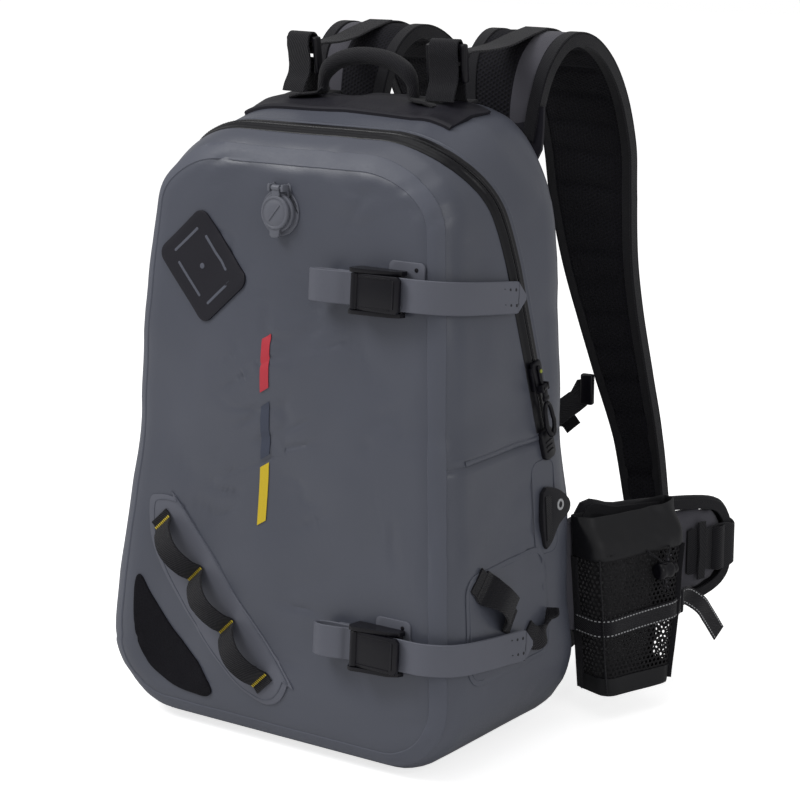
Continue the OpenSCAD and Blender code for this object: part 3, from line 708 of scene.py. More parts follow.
def rounded(w: float, h: float, r: float, steps: int = 6) -> list[tuple[float, float]]:
    """Outline of a rounded rectangle centred on the origin."""
    out = []
    for k, (cx, cy) in enumerate(((w / 2 - r, h / 2 - r), (-w / 2 + r, h / 2 - r), (-w / 2 + r, -h / 2 + r),
                                  (w / 2 - r, -h / 2 + r))):
        out += [(cx + r * cos(a), cy + r * sin(a)) for a in (pi / 2 * (k + i / steps) for i in range(steps + 1))]
    return out


def curve(a: Vector, b: Vector, c: Vector, d: Vector, steps: int) -> list[Vector]:
    """Points of a smooth curve from b up to c, with a before and d after them."""
    return [0.5 * (2 * b + (c - a) * t + (2 * a - 5 * b + 4 * c - d) * t * t + (3 * b - a - 3 * c + d) * t ** 3)
            for t in (k / steps for k in range(steps))]


def smooth_path(points: Sequence[Sequence[float]], steps: int = 6) -> list[Vector]:
    """Pass a smooth curve through points of any one dimension."""
    p = [Vector(q) for q in points]
    p = [p[0] * 2 - p[1], *p, p[-1] * 2 - p[-2]]
    return [q for four in zip(p, p[1:], p[2:], p[3:]) for q in curve(*four, steps)] + [p[-2]]


def close_path(points: Path2, steps: int = 5) -> list[tuple[float, float]]:
    """A smooth closed outline through 2D points."""
    p = [Vector(q) for q in (points[-1], *points, *points[:2])]
    return [tuple(q) for four in zip(p, p[1:], p[2:], p[3:]) for q in curve(*four, steps)]


# ------------------------------------------------------------- the bag's form
Station = tuple[float, float, float, float]
FLAP_BEND = ("bag", "front_flap", Vector((0, 0, 245.0)), Vector((0, 0, 306.4)))


def ease(value: float, low: float, high: float) -> float:
    """Rise smoothly from 0 at low to 1 at high."""
    t = max(0.0, min(1.0, (value - low) / (high - low)))
    return t * t * (3 - 2 * t)


@dataclass(frozen=True)
class Form:
    """The outer form of the bag, in millimetres."""

    height: float = 500.0
    base_half: float = 172.0
    top_half: float = 142.0
    front_low: float = -113.0
    front_high: float = -75.0
    back: float = 95.0
    low_r: float = 60.0
    top_r: float = 80.0
    front_r: float = 28.0
    back_r: float = 40.0
    wall: float = 2.4
    boot: float = 3.0
    fold_z: float = 245.0
    bend_z: float = 375.0
    zip_y: float = 42.0
    zip_lean: float = 0.25
    slope: float = 24.0
    calm: tuple[tuple[float, float, float], ...] = ((-6, 424, 34), (95, 374, 52), (108, 104, 52))

    @property
    def lean(self) -> float:
        """Angle of the sides from upright."""
        return atan((self.base_half - self.top_half) / self.height)

    @property
    def tilt(self) -> float:
        """Angle of the front panel from upright."""
        return atan((self.front_high - self.front_low) / self.height)

    @property
    def front_out(self) -> Vector:
        """Outward direction of the front panel."""
        return Vector((0, -cos(self.tilt), sin(self.tilt)))

    @property
    def side_out(self) -> Vector:
        """Outward direction of the right side."""
        return Vector((cos(self.lean), 0, sin(self.lean)))

    def half_at(self, z: float) -> float:
        """Half width on the side line."""
        return self.base_half + (self.top_half - self.base_half) * z / self.height

    def front_at(self, z: float) -> float:
        """Y of the front panel."""
        return self.front_low + (self.front_high - self.front_low) * z / self.height

    def zip_at(self, z: float) -> float:
        """Y of the zip line."""
        if z <= self.bend_z:
            return self.zip_y - self.zip_lean * (z - self.fold_z)
        t = min(1.0, (z - self.bend_z) / (self.height - self.bend_z))
        bend = self.zip_y - self.zip_lean * (self.bend_z - self.fold_z)
        return bend - self.zip_lean * (self.height - self.bend_z) * t - 22 * sin(t * pi / 2) * t

    def sag(self, y: float, z: float) -> float:
        """Drop of the sloping top at a place of the unsloped outline."""
        u, v = max(0.0, min(1.0, (z - 400) / 100)), max(0.0, min(1.0, (20 - y) / 95))
        return self.slope * u * u * (3 - 2 * u) * v

    def half_outline(self, high: bool, low_z: float | None = None) -> list[Station]:
        """Stations of the right half of the outline, from the bottom up.

        Args:
            high: True for the part above the fold, False for the part below.
            low_z: Height at which the upper part starts, if not at the fold.

        Returns:
            Each station's x, z and outward direction.
        """
        nx, nz = cos(self.lean), sin(self.lean)
        r, cz = (self.top_r, self.height - self.top_r) if high else (self.low_r, self.boot + self.low_r)
        cx = self.base_half - (r + cz * nz) / nx
        turn = cz + r * nz
        if not high:
            out = [(cx * i / 8, self.boot, 0.0, -1.0) for i in range(8)]
            angles = [-pi / 2 + (self.lean + pi / 2) * i / 18 for i in range(19)]
            out += [(cx + r * cos(a), cz + r * sin(a), cos(a), sin(a)) for a in angles]
            return out + [(self.half_at(z), z, nx, nz)
                          for z in (turn + (self.fold_z - turn) * i / 18 for i in range(1, 19))]
        start = self.fold_z if low_z is None else low_z
        out = [(self.half_at(z), z, nx, nz) for z in (start + (turn - start) * i / 20 for i in range(20))]
        angles = [self.lean + (pi / 2 - self.lean) * i / 20 for i in range(21)]
        out += [(cx + r * cos(a), cz + r * sin(a), cos(a), sin(a)) for a in angles]
        return out + [(cx * (1 - i / 7), self.height, 0.0, 1.0) for i in range(1, 8)]

    def arch(self, high: bool, low_z: float | None = None, step: float = 0.0) -> list[Station]:
        """Stations from the right end over the middle to the left end."""
        half = self.half_outline(high, low_z)
        half = half if high else half[::-1]
        full = half + [(-x, z, -nx, nz) for x, z, nx, nz in half[-2::-1]]
        if not step:
            return full
        run = [0.0]
        for a, b in zip(full, full[1:]):
            run.append(run[-1] + math.dist(a[:2], b[:2]))
        out, k, n = [], 0, max(2, round(run[-1] / step))
        for i in range(n + 1):
            s = run[-1] * i / n
            while k < len(full) - 2 and run[k + 1] < s:
                k += 1
            t = (s - run[k]) / max(1e-9, run[k + 1] - run[k])
            out.append(tuple(u + (v - u) * t for u, v in zip(full[k], full[k + 1])))
        return out

    def puff(self, p: Vector) -> float:
        """Soft swelling and dents of the air-filled shell at a place."""
        soft = 4.6 * noise.noise(p / 82.0 + Vector((3.1, 0.4, 7.7))) + 1.3 * noise.noise(p / 36.0)
        soft += 6.0 * ease(-p.x, 110, 150) * exp(-(((p.z - 80) / 80) ** 2))
        crease = noise.noise(Vector((p.x * 0.016 + p.z * 0.012, p.y * 0.01, p.z * 0.045 - p.x * 0.02))
                             + Vector((9.2, 1.7, 0.3)))
        soft -= 1.5 * exp(-((crease / 0.09) ** 2)) * ease(noise.noise(p / 60.0 + Vector((5, 5, 5))), -0.05, 0.35)
        keep = 1.0
        if p.y < self.front_at(p.z) + 20:
            soft += 3.0 * max(0.0, 1 - (p.x / 150) ** 2) * max(0.0, 1 - ((p.z - 245) / 245) ** 2)
            soft -= 2.2 * exp(-((p.x - 20) / 60) ** 2 - ((p.z - 395) / 30) ** 2)
            for x, z, r in self.calm:
                keep *= ease(math.dist((p.x, p.z), (x, z)), r * 0.62, r * 1.35)
        elif p.z > self.fold_z - 60 and p.y < self.back - 20:
            keep *= 0.15 + 0.85 * ease(abs(p.y - self.zip_at(p.z)), 8, 55)
        return soft * keep * ease(p.z, 4, 60)

    def settle(self, p: Vector, out: Vector, off: float = 0.0) -> Vector:
        """Move a skin point outwards by its swelling."""
        return p + out * (self.puff(p) + off)

    def front_edge(self, q: Station, angle: float, off: float = 0.0) -> Vector:
        """A point of the rounding between front panel and gusset."""
        a = radians(angle)
        inset = self.front_r * (1 - sin(a))
        z, r = q[1] - q[3] * inset, self.front_r * (1 - cos(a))
        z -= self.sag(self.front_at(z) + r, z)
        p = Vector((q[0] - q[2] * inset, self.front_at(z) + r, z))
        return self.settle(p, Vector((q[2] * sin(a), -cos(a), q[3] * sin(a))).normalized(), off)

    def back_edge(self, q: Station, angle: float, off: float = 0.0) -> Vector:
        """A point of the rounding between gusset and back panel."""
        a = radians(angle)
        inset = self.back_r * (1 - sin(a))
        y, z = self.back - self.back_r * (1 - cos(a)), q[1] - q[3] * inset
        p = Vector((q[0] - q[2] * inset, y, z - self.sag(y, z)))
        return self.settle(p, Vector((q[2] * sin(a), cos(a), q[3] * sin(a))).normalized(), off)

    def flank(self, q: Station, y: float, off: float = 0.0) -> Vector:
        """A point of the flat gusset."""
        return self.settle(Vector((q[0], y, q[1] - self.sag(y, q[1]))), Vector((q[2], 0, q[3])).normalized(), off)

    def on_front(self, x: float, z: float, off: float = 0.0) -> Matrix:
        """Frame on the front panel: X right, Y up the panel, Z outwards."""
        base = Vector((x, self.front_at(z), z)) + self.front_out * off
        return Matrix.Translation(base) @ Matrix.Rotation(pi / 2 - self.tilt, 4, "X")

    def on_side(self, y: float, z: float, off: float = 0.0) -> Matrix:
        """Frame on the right side: X to the back, Y up, Z outwards."""
        base = Vector((self.half_at(z), y, z)) + self.side_out * off
        axes = Matrix(((0, 0, 1, 0), (1, 0, 0, 0), (0, 1, 0, 0), (0, 0, 0, 1)))
        return Matrix.Translation(base) @ Matrix.Rotation(-self.lean, 4, "Y") @ axes

    def drape_front(self, x: float, z: float, turn: float = 0.0) -> Warp:
        """A warp that lays local shapes on the swollen front panel."""
        spin = turned(turn, "Z")

        def lay(v: Vector) -> Vector:
            """Lay one point."""
            w = spin @ v
            h = z + w.y * cos(self.tilt)
            p = Vector((x + w.x, self.front_at(h), h))
            return self.settle(p, self.front_out, w.z)
        return lay

    def drape_side(self, y: float, z: float, turn: float = 0.0) -> Warp:
        """A warp that lays local shapes on the swollen right side."""
        spin = turned(turn, "Z")

        def lay(v: Vector) -> Vector:
            """Lay one point."""
            w = spin @ v
            h = z + w.y * cos(self.lean)
            return self.settle(Vector((self.half_at(h), y + w.x, h)), self.side_out, w.z)
        return lay


FORM = Form()


@dataclass(frozen=True)
class Shell:
    """The welded skin: front panel, gussets, back and their weld tapes."""

    weld_from: float = 20.0
    weld_to: float = 50.0
    split: float = 36.0

    def build(self) -> None:
        """Make every skin piece."""
        self.front_panel()
        self.weld_band()
        self.gusset("flap_gusset", None, True, 16, True, False)
        self.gusset("gusset_lower", "bag", False, 18, True, True)
        self.gusset("gusset_rear", "bag", True, 12, False, True)
        self.back_panel()
        self.side_seams()
        self.prints()

    def ring(self) -> list[Station]:
        """Stations once round the whole outline."""
        high, low = FORM.arch(True), FORM.arch(False)
        return high[:-1] + low[::-1][:-1]

    def front_panel(self) -> None:
        """One sheet over the lower panel, the fold and the flap."""
        b, f, ring = Bench(), FORM, self.ring()
        rings = [[f.front_edge(q, a) for q in ring] for a in (self.split, 27, 18, 9)]
        edge = [(q[0] - q[2] * f.front_r, q[1] - q[3] * f.front_r) for q in ring]
        n = 56
        for k in range(n):
            s = 1 - k / n * 0.97
            flat = [Vector((x * s, 0, 245 + (z - f.sag(f.front_at(z), z) - 245) * s)) for x, z in edge]
            rings.append([f.settle(Vector((p.x, f.front_at(p.z), p.z)), f.front_out) for p in flat])
        b.loft(rings, caps=False, lid=True)
        b.finish("front_panel_skin", ["coated_cloth", "coated_inside"], None, "shell_front",
                 ["flap_panel", "front_panel_lower", "front_fold"], wall=f.wall, blend=FLAP_BEND)

    def weld_band(self) -> None:
        """The pale seam tape over the rounding of the front."""
        b, f = Bench(), FORM
        ring = self.ring()
        step = [(self.weld_from, 0.05), (self.weld_from + 1.5, 0.75), (28, 0.85), (35, 0.85), (42, 0.85),
                (self.weld_to - 1.5, 0.75), (self.weld_to, 0.05), (35, -0.8)]
        rows = [[f.front_edge(q, a, off) for a, off in step] for q in ring]
        b.loft(rows, wrap=True)
        b.finish("weld_band", "weld_film", None, "shell_front", blend=FLAP_BEND)

    def gusset(self, name: str, body: str | None, high: bool, spans: int, front: bool, back: bool) -> None:
        """One strip of the gusset.

        Args:
            name: The CAD node that it stands for.
            body: The body it rides on, or None where it takes the flap's bend tuple and is baked in place unbent.
            high: Whether it lies above the fold.
            spans: Divisions from its front to its back.
            front: Whether it takes in the front rounding, or starts at the zip.
            back: Whether it takes in the rear rounding, or stops at the zip.
        """
        b, f = Bench(), FORM
        rows = []
        for q in f.arch(high, step=6.5 if high else 7.0):
            start = f.front_at(q[1]) + f.front_r if front else f.zip_at(q[1]) + 0.6
            stop = f.back - f.back_r if back else f.zip_at(q[1]) - 0.6
            rows.append([f.front_edge(q, a) for a in (self.split, 48, 60, 72, 82) if front]
                        + [f.flank(q, start + (stop - start) * i / spans) for i in range(spans + 1)]
                        + [f.back_edge(q, a) for a in (78, 66, 54, 42, 30, 18, 6, 0) if back])
        b.loft(rows, closed=False)
        b.finish(name + "_skin", ["coated_cloth", "coated_inside"], body, "shell_side", [name], wall=f.wall,
                 blend=None if body else FLAP_BEND)

    def back_panel(self) -> None:
        """The mesh-covered back, set into the rear rounding."""
        b, f = Bench(), FORM
        ring = self.ring()
        edge = [(q[0] - q[2] * f.back_r, q[1] - q[3] * f.back_r) for q in ring]
        rings = []
        for k in range(14):
            s = 1 - k / 14 * 0.96
            rings.append([Vector((x * s, f.back + (0.6 if k else 0.0), 245 + (z - 245) * s)) for x, z in edge])
        b.loft(rings, caps=False, marks=[[(p.x, p.z) for p in r] for r in rings], lid=True)
        b.finish("back_panel_skin", ["spacer_mesh", "coated_inside"], "bag", "pad_mesh", ["back_panel"],
                 wall=f.wall)

    def side_seams(self) -> None:
        """Weld tapes across both sides and the outline of the back welds."""
        f = FORM
        for side, name in ((1, "right"), (-1, "left")):
            b = Bench(side < 0)
            rows, y = [], f.front_at(247) + f.front_r - 2
            while y < 40:
                rows.append([f.flank((f.half_at(z), z, *f.side_out.xz), y, off) for z,
                             off in ((245.2, 0.05), (245.8, 0.45), (247, 0.5), (248.2, 0.45), (248.8, 0.05),
                                     (247, -1.2))])
                y += 5
            b.loft(rows)
            b.finish("side_seam_" + name, "coated_cloth", None, "shell_side", blend=FLAP_BEND)
        b = Bench()
        b.loft([[f.flank(q, f.zip_at(q[1]) + v, off) for v,
                 off in ((12.4, 0.02), (13.0, 0.42), (14.8, 0.42), (15.4, 0.02), (14, -1.0))]
                for q in f.arch(True, low_z=262, step=6.5)])
        b.finish("rear_weld_line", "coated_cloth", "bag", "shell_side")

    def prints(self) -> None:
        """Three slanted colour marks on the front."""
        for name, low, high, ink in (("red", 284, 328, "red_print"), ("slate", 231, 275, "slate_print"),
                                     ("yellow", 179, 227, "yellow_print")):
            b = Bench()
            mid = (low + high) / 2
            pts = [(-4, low - mid), (4, low - mid + 5), (4, high - mid + 3), (-4, high - mid - 2)]
            b.plate(pts, 0.45, 0.75, bevel=0, grid=3)
            b.warp(FORM.drape_front(-12, mid))
            b.finish("print_" + name, ink, None, "shell_front", blend=FLAP_BEND)


@dataclass(frozen=True)
class Zipper:
    """The waterproof zip: two laminated tapes with teeth, docks and slider."""

    low: float = 251.0
    pitch: float = 1.5
    slider_z: float = 296.0

    def build(self) -> None:
        """Make tapes, docks, slider and pull."""
        self.tape(-1, "zip_tape_flap_made", "zip_tape_flap")
        self.tape(1, "zip_tape_rear_made", "zip_tape_rear")
        self.docks()
        self.slider()
        self.pull()

    def tape(self, side: int, name: str, node: str) -> None:
        """One half of the zip, with a toothed bead along its inner edge."""
        b, f = Bench(), FORM
        rows, marks = [], []
        for i, q in enumerate(f.arch(True, low_z=self.low, step=self.pitch)):
            y, tooth = f.zip_at(q[1]), 0.35 if i % 2 else 0.0
            shape = [(9.6, 0.05), (9.2, 0.7), (6.6, 0.9), (4.6, 1.0), (3.7, 1.7 + tooth * 0.5), (2.6, 2.3 + tooth),
                     (1.2, 2.2 + tooth), (0.5, 1.5), (0.35, -1.6), (5, -1.8), (9, -1.2)]
            rows.append([f.flank(q, y + side * v, off) for v, off in shape])
            marks.append([(i * self.pitch, v) for v, _ in shape])
        b.loft(rows, marks=marks)
        kind = {"body": "bag"} if side > 0 else {"body": None, "blend": FLAP_BEND}
        b.finish(name, "zip_laminate", slot="zip_tape", replaces=[node], crease=50, **kind)

    def seat(self, z: float, off: float) -> Matrix:
        """Frame on the right zip line at a height."""
        angle = atan(FORM.zip_lean * cos(FORM.lean))
        return FORM.on_side(FORM.zip_at(z), z, off) @ Matrix.Rotation(angle, 4, "Z")

    def docks(self) -> None:
        """Moulded ends that the zip seals into."""
        for side, name in ((1, "right"), (-1, "left")):
            b = Bench(side < 0)
            b.plate(rounded(16, 26, 5), -1.0, 3.2, bevel=1.1)
            for k in range(3):
                b.block((9, 1.4, 1.2), (0, -6 + 4 * k, 3.4), 0.4)
            b.move(self.seat(FORM.fold_z, 0.3) @ moved(0, -4, 0))
            b.finish("dock_" + name, "black_acetal", "bag", "buckle_plastic", ["zip_dock_" + name])

    def slider(self) -> None:
        """Slider body with its bridge and a coloured dot."""
        b = Bench()
        b.plate([(-6.5, 9), (-5, 13), (5, 13), (6.5, 9), (4.6, -8), (3.2, -13), (-3.2, -13), (-4.6, -8)], 2.6, 5.4,
                bevel=0.9)
        b.block((3.4, 17, 3.0), (0, 1.5, 6.4), 1.2, 3)
        for s in (-1, 1):
            b.block((1.8, 6, 5.6), (s * 4, -8, 7.4), 0.6)
            b.block((1.2, 20, 3.2), (s * 6.2, 0, 2.6), 0.4)
        b.disc(1.2, 9, (0, -8, 8), turned(90, "Y"), 0.2, 16)
        before = set(b.bm.faces)
        b.disc(1.5, 1.0, (0, 5.5, 8.0), bevel=0.3, segments=18)
        b.paint_new(before, 1)
        b.move(self.seat(self.slider_z, 0))
        b.finish("slider_made", ["black_acetal", "lime_dot"], "slider", "buckle_plastic", ["zip_slider"])

    def pull(self) -> None:
        """Long finger loop that hangs from the slider."""
        b = Bench()
        b.ring(1.26, 2.6, -2.7, 2.7, (0, 0, 0), turned(90, "Y"), 20, 0.3)
        b.block((5.2, 9, 2.6), (0, -6.2, 0), 0.9)
        b.block((6.6, 4, 3.4), (0, -9.4, 0), 1.0)
        loop = [Vector((4.9 * cos(a) * (1.0 + 0.18 * (sin(a) < 0)), -27 + 13.6 * sin(a), 0))
                for a in (tau * k / 36 for k in range(36))]
        b.tube(loop, [1.75 + 0.35 * (p.y < -36) for p in loop], 10, True)
        b.move(self.seat(self.slider_z, 0) @ moved(0, -8, 8))
        b.finish("pull_made", "black_acetal", "pull", "buckle_plastic", ["zip_pull"])


@dataclass(frozen=True)
class AirValve:
    """Soft air valve with a hinged cap."""

    x: float = -6.0
    z: float = 424.0

    def build(self) -> None:
        """Make the seat and the cap."""
        b = Bench()
        b.ring(7.8, 18, -0.6, 1.3, (0, 0, 0), steps=56, bevel=0.5)
        b.ring(8, 15, 1.0, 5, (0, 0, 0), steps=56, bevel=0.9)
        b.disc(8.2, 1.0, (0, 0, 1.2), bevel=0.2)
        b.ring(3.0, 3.8, 1.6, 2.6, (0, 0, 0), steps=24, bevel=0.2)
        for s in (-1, 1):
            b.block((2.4, 5.6, 8.4), (s * 6.4, 19, 4.2), 0.7)
        b.disc(1.1, 15, (0, 19, 6.4), turned(90, "Y"), 0.2, 14)
        b.plate(rounded(19, 11, 4), -0.4, 1.2, bevel=0.5)
        b.move(moved(0, 17.5, 0),
               [v for v in b.bm.verts if v.co.z < 1.3 and abs(v.co.x) < 9.6 and abs(v.co.y) < 5.6
                and hypot(v.co.x, v.co.y) > 8.3])
        b.move(FORM.on_front(self.x, self.z, 0.2))
        b.finish("valve_seat", "grey_acetal", "front_flap", "valve_plastic", ["valve_body"])
        profile = [(0.01, 8.6), (5, 8.6), (8.8, 8.5), (9.6, 8.0), (10.6, 8.0), (11.2, 8.5), (12.2, 8.4), (13, 7.6),
                   (13, 5.8), (12.6, 5.4), (0.01, 5.4)]
        b.spin(profile, 48)
        b.block((7.0, 9, 2.0), (0, 13.5, 6.6), 0.7)
        b.ring(1.16, 2.4, -3.6, 3.6, (0, 19, 6.4), turned(90, "Y"), 20, 0.3)
        b.plate([(-5, -11), (5, -11), (4.4, -17.4), (2.6, -19), (-2.6, -19), (-4.4, -17.4)], 5.6, 7.4, bevel=0.6)
        b.block((16, 1.6, 1.0), (0, 0, 8.8), 0.4, turn=Matrix.Rotation(0.9, 4, "Z"))
        b.move(FORM.on_front(self.x, self.z, 0.2))
        b.finish("valve_lid", "grey_acetal", "cap", "valve_plastic", ["valve_cap"])


@dataclass(frozen=True)
class LashPatch:
    """Turned rubber patch with four slits and a centre hole."""

    x: float = -80.0
    z: float = 376.0
    turn: float = -48.0

    def build(self) -> None:
        """Make the patch and its pale slits."""
        b = Bench()
        b.plate(rounded(74, 58, 9), 0.1, 1.9, bevel=0.7, grid=8)
        b.warp(FORM.drape_front(self.x, self.z, self.turn))
        b.finish("lash_patch_made", "patch_rubber", "front_flap", "patch_rubber", ["lash_patch"])
        for w, h, x, y in ((34, 2.2, 0, 17), (34, 2.2, 0, -17), (2.2, 30, 26, 0), (2.2, 30, -26, 0),
                           (4.4, 4.4, 0, 0)):
            verts = b.plate(rounded(w, h, min(w, h) * 0.48, 4), 1.2, 2.02, bevel=0.12, grid=8)
            b.move(moved(x, y, 0), verts)
        b.warp(FORM.drape_front(self.x, self.z, self.turn))
        b.finish("lash_slits", "weld_film", "front_flap", "patch_rubber")


@dataclass(frozen=True)
class CompressionStrap:
    """Welded film strap through a cam buckle and round to the side."""

    name: str
    z: float
    x_base: float
    x_end: float
    x_loop: float
    x_buckle: float
    y_tip: float
    body: str
    cam: str
    width: float = 25.0

    def build(self) -> None:
        """Make base, strap, buckle and lever."""
        self.base()
        self.strap()
        self.buckle()
        self.lever()

    def base(self) -> None:
        """Film pad welded to the front, with a tab and a small hole."""
        b = Bench()
        wide, mid = self.x_end - self.x_base, (self.x_base + self.x_end) / 2
        b.plate(rounded(wide, self.width, 6), 0.05, 1.1, bevel=0.5, grid=8)
        tab = b.plate(rounded(32, 17, 4), 0.05, 1.25, bevel=0.5, grid=8)
        b.move(moved(wide / 2 - 18, self.width / 2 + 3, 0), tab)
        before = set(b.bm.faces)
        b.disc(1.7, 0.9, (wide / 2 - 9, self.width / 2 + 6, 1.1), bevel=0.2, segments=18)
        b.paint_new(before, 1)
        b.warp(FORM.drape_front(mid, self.z))
        b.finish(self.name + "_base_made", ["strap_film", "black_acetal"], self.body, "strap_film",
                 [self.name + "_strap_base"])

    def strap(self) -> None:
        """Strap with its loop, and a tail with six holes and a cut tip."""
        f, xl, xb = FORM.front_at(self.z), self.x_loop, self.x_buckle
        s = FORM.half_at(self.z)
        key = [(xb + 18, f - 3.6), (xb - 4, f - 3.4), (xl + 24, f - 3.4), (xl + 10, f - 4.5), (xl + 2.5, f - 9),
               (xl + 3, f - 15), (xl + 12, f - 18.5), (xl + 26, f - 15), (xb - 24, f - 11.4), (xb, f - 10.9),
               (xb + 24, f - 11), (s - 18, f - 10), (s - 5, f - 2), (s + 3, f + 12), (s + 6, f + 36),
               (s + 6, self.y_tip - 14), (s + 6, self.y_tip - 11), (s + 6, self.y_tip)]
        flat = smooth_path(key, 5)
        path, across, width = [], [], []
        for p in flat:
            path.append(Vector((p.x, p.y, self.z - 0.13 * (p.y - f))))
            k = ease(p.y, f - 4, f + 14) if p.x > xb else 0.0
            front = Vector((0, sin(FORM.tilt), cos(FORM.tilt)))
            side = Vector((-sin(FORM.lean), -0.02, cos(FORM.lean)))
            across.append(front.lerp(side, k))
            width.append(self.width - 20.0 * max(0.0, 1 - (self.y_tip - p.y) / 11.0) * (p.x > s))
        b = Bench()
        b.strip(path, across, width, 1.9)
        before = set(b.bm.faces)
        for i in range(3):
            for j in (-1, 1):
                y = self.y_tip - 14 - 8 * i
                at = Vector((s + 6.75, y,
                             self.z - 0.13 * (y - f))) + Vector((-sin(FORM.lean), 0, cos(FORM.lean))) * 6 * j
                b.disc(1.3, 0.6, at, turned(90, "Y"), 0.0, 14)
        b.paint_new(before, 1)
        b.finish(self.name + "_strap_made", ["strap_film", "black_acetal"], self.body, "strap_film",
                 [self.name + "_strap"])

    def buckle(self) -> None:
        """Cam buckle frame: cheeks, floor and the bar."""
        b, half = Bench(), self.width / 2 + 3.2
        cheek = [(-22, 2.0), (20, 2.0), (22, 4.5), (21, 10), (14, 15), (-8, 18.6), (-16, 20.6), (-20, 19),
                 (-22, 15)]
        for s in (-1, 1):
            verts = b.plate(cheek, -1.6, 1.6, bevel=0.6)
            b.move(moved(0, s * half, 0) @ turned(90, "X"), verts)
        b.block((42, self.width + 5, 2.1), (0, 0, 6.8), 0.6)
        b.block((4, self.width + 5, 3.2), (19.4, 0, 7.2), 0.9)
        b.disc(1.5, self.width + 8, (-16, 0, 17), turned(90, "X"), 0.3, 18)
        b.move(FORM.on_front(self.x_buckle, self.z))
        b.finish(self.name + "_buckle_made", "black_acetal", self.body, "buckle_plastic", [self.name + "_buckle"])

    def lever(self) -> None:
        """Broad cam lever, hinged on the bar of the frame."""
        b = Bench()
        b.ring(1.56, 3.2, -self.width / 2 - 1, self.width / 2 + 1, (-16, 0, 17), turned(90, "X"), 24, 0.3)
        w = self.width / 2 + 1.4
        b.plate([(-15, -w), (22, -w), (24.5, -w + 2.5), (24.5, w - 2.5), (22, w), (-15, w)], 15.1, 18.3, bevel=0.9)
        b.block((1.6, self.width - 4, 1.0), (19.5, 0, 18.4), 0.4)
        b.block((30, 1.2, 0.8), (2, w - 2.4, 18.3), 0.35)
        b.block((30, 1.2, 0.8), (2, 2.4 - w, 18.3), 0.35)
        b.move(FORM.on_front(self.x_buckle, self.z))
        b.finish(self.name + "_lever_made", "black_acetal", self.cam, "buckle_plastic", [self.name + "_lever"])


@dataclass(frozen=True)
class ToolLoops:
    """Welded patch with a webbing that stands off in three loops."""

    xs: tuple[float, float] = (-111.0, -7.0)
    zs: tuple[float, float] = (166.0, 56.0)
    patch: Outline = ((-127, 182), (-118, 188), (-103, 188), (-94, 182), (16, 66), (19, 56), (12, 43), (0, 37),
                                              (-14, 39), (-34, 48), (-62, 70), (-90, 99), (-112, 128), (-124, 154))
    fly: Outline = ((-136, 118), (-138, 104), (-137, 78), (-133, 60), (-122, 44), (-98, 33), (-70, 30),
                                            (-61, 32), (-60, 39), (-76, 57), (-101, 79), (-122, 104), (-131, 118))

    def build(self) -> None:
        """Make the patch, webbing, bartacks and the fly patch."""
        run = math.dist((self.xs[0], self.zs[0]), (self.xs[1], self.zs[1]))
        slope = -math.degrees(math.atan2(self.zs[0] - self.zs[1], self.xs[1] - self.xs[0]))
        lay = FORM.drape_front(0, 0)
        up = 1 / cos(FORM.tilt)
        b = Bench()
        b.plate([(x, z * up) for x, z in close_path(self.patch)], 0.05, 1.15, bevel=0.5, grid=9)
        before = set(b.bm.faces)
        turn = turned(slope, "Z")
        for k in range(3):
            for j in range(4):
                spot = turn @ Vector(((k + 0.2 + 0.2 * j) * run / 3, -15 - 3.5 * sin(pi * (j + 0.5) / 4), 0))
                b.disc(0.9, 0.5, (self.xs[0] + spot.x, (self.zs[0] + spot.y) * up, 1.15), bevel=0.0, segments=10)
        b.paint_new(before, 1)
        b.warp(lay)
        b.finish("tool_patch_made", ["strap_film", "black_acetal"], "bag", "strap_film", ["tool_patch"])
        rim = close_path([(x * 0.93 - 3.6, z * 0.955 + 5) for x, z in self.patch], 6)
        b.tube([Vector((x, z * up, 1.15)) for x, z in rim], 0.45, 6, True)
        b.warp(lay)
        b.finish("tool_patch_weld", "weld_film", "bag", "strap_film")
        key = [(-7, 2.3), (0, 2.3)]
        for k in range(3):
            key += [(run * (k + i / 8) / 3, 2.4 + 15 * sin(pi * i / 8) ** 0.8) for i in range(1, 8)]
            key.append((run * (k + 1) / 3, 2.3))
        key.append((run + 7, 2.3))
        path = [Vector((p.x, 0, p.y)) for p in smooth_path(key, 4)]
        b.strip(path, REAR, 20.0, 1.8)
        b.warp(FORM.drape_front(self.xs[0], self.zs[0], slope))
        b.finish("tool_webbing_made", "black_webbing", "bag", "webbing", ["tool_webbing"])
        for k in range(4):
            for j in range(10):
                b.block((3.0, 1.1, 1.1), (run * k / 3, -8.4 + 1.87 * j, 3.7), 0.4, 1, Matrix.Rotation(0.2, 4, "Z"))
        b.warp(FORM.drape_front(self.xs[0], self.zs[0], slope))
        b.finish("bartacks_made", "yellow_thread", "bag", "bartack", ["tool_bartacks"])
        b.plate([(x, z * up) for x, z in close_path(self.fly)], 0.05, 1.7, bevel=0.6, grid=9)
        b.warp(lay)
        b.finish("fly_patch_made", "fly_pile", "bag", "fly_cloth", ["fly_patch"])


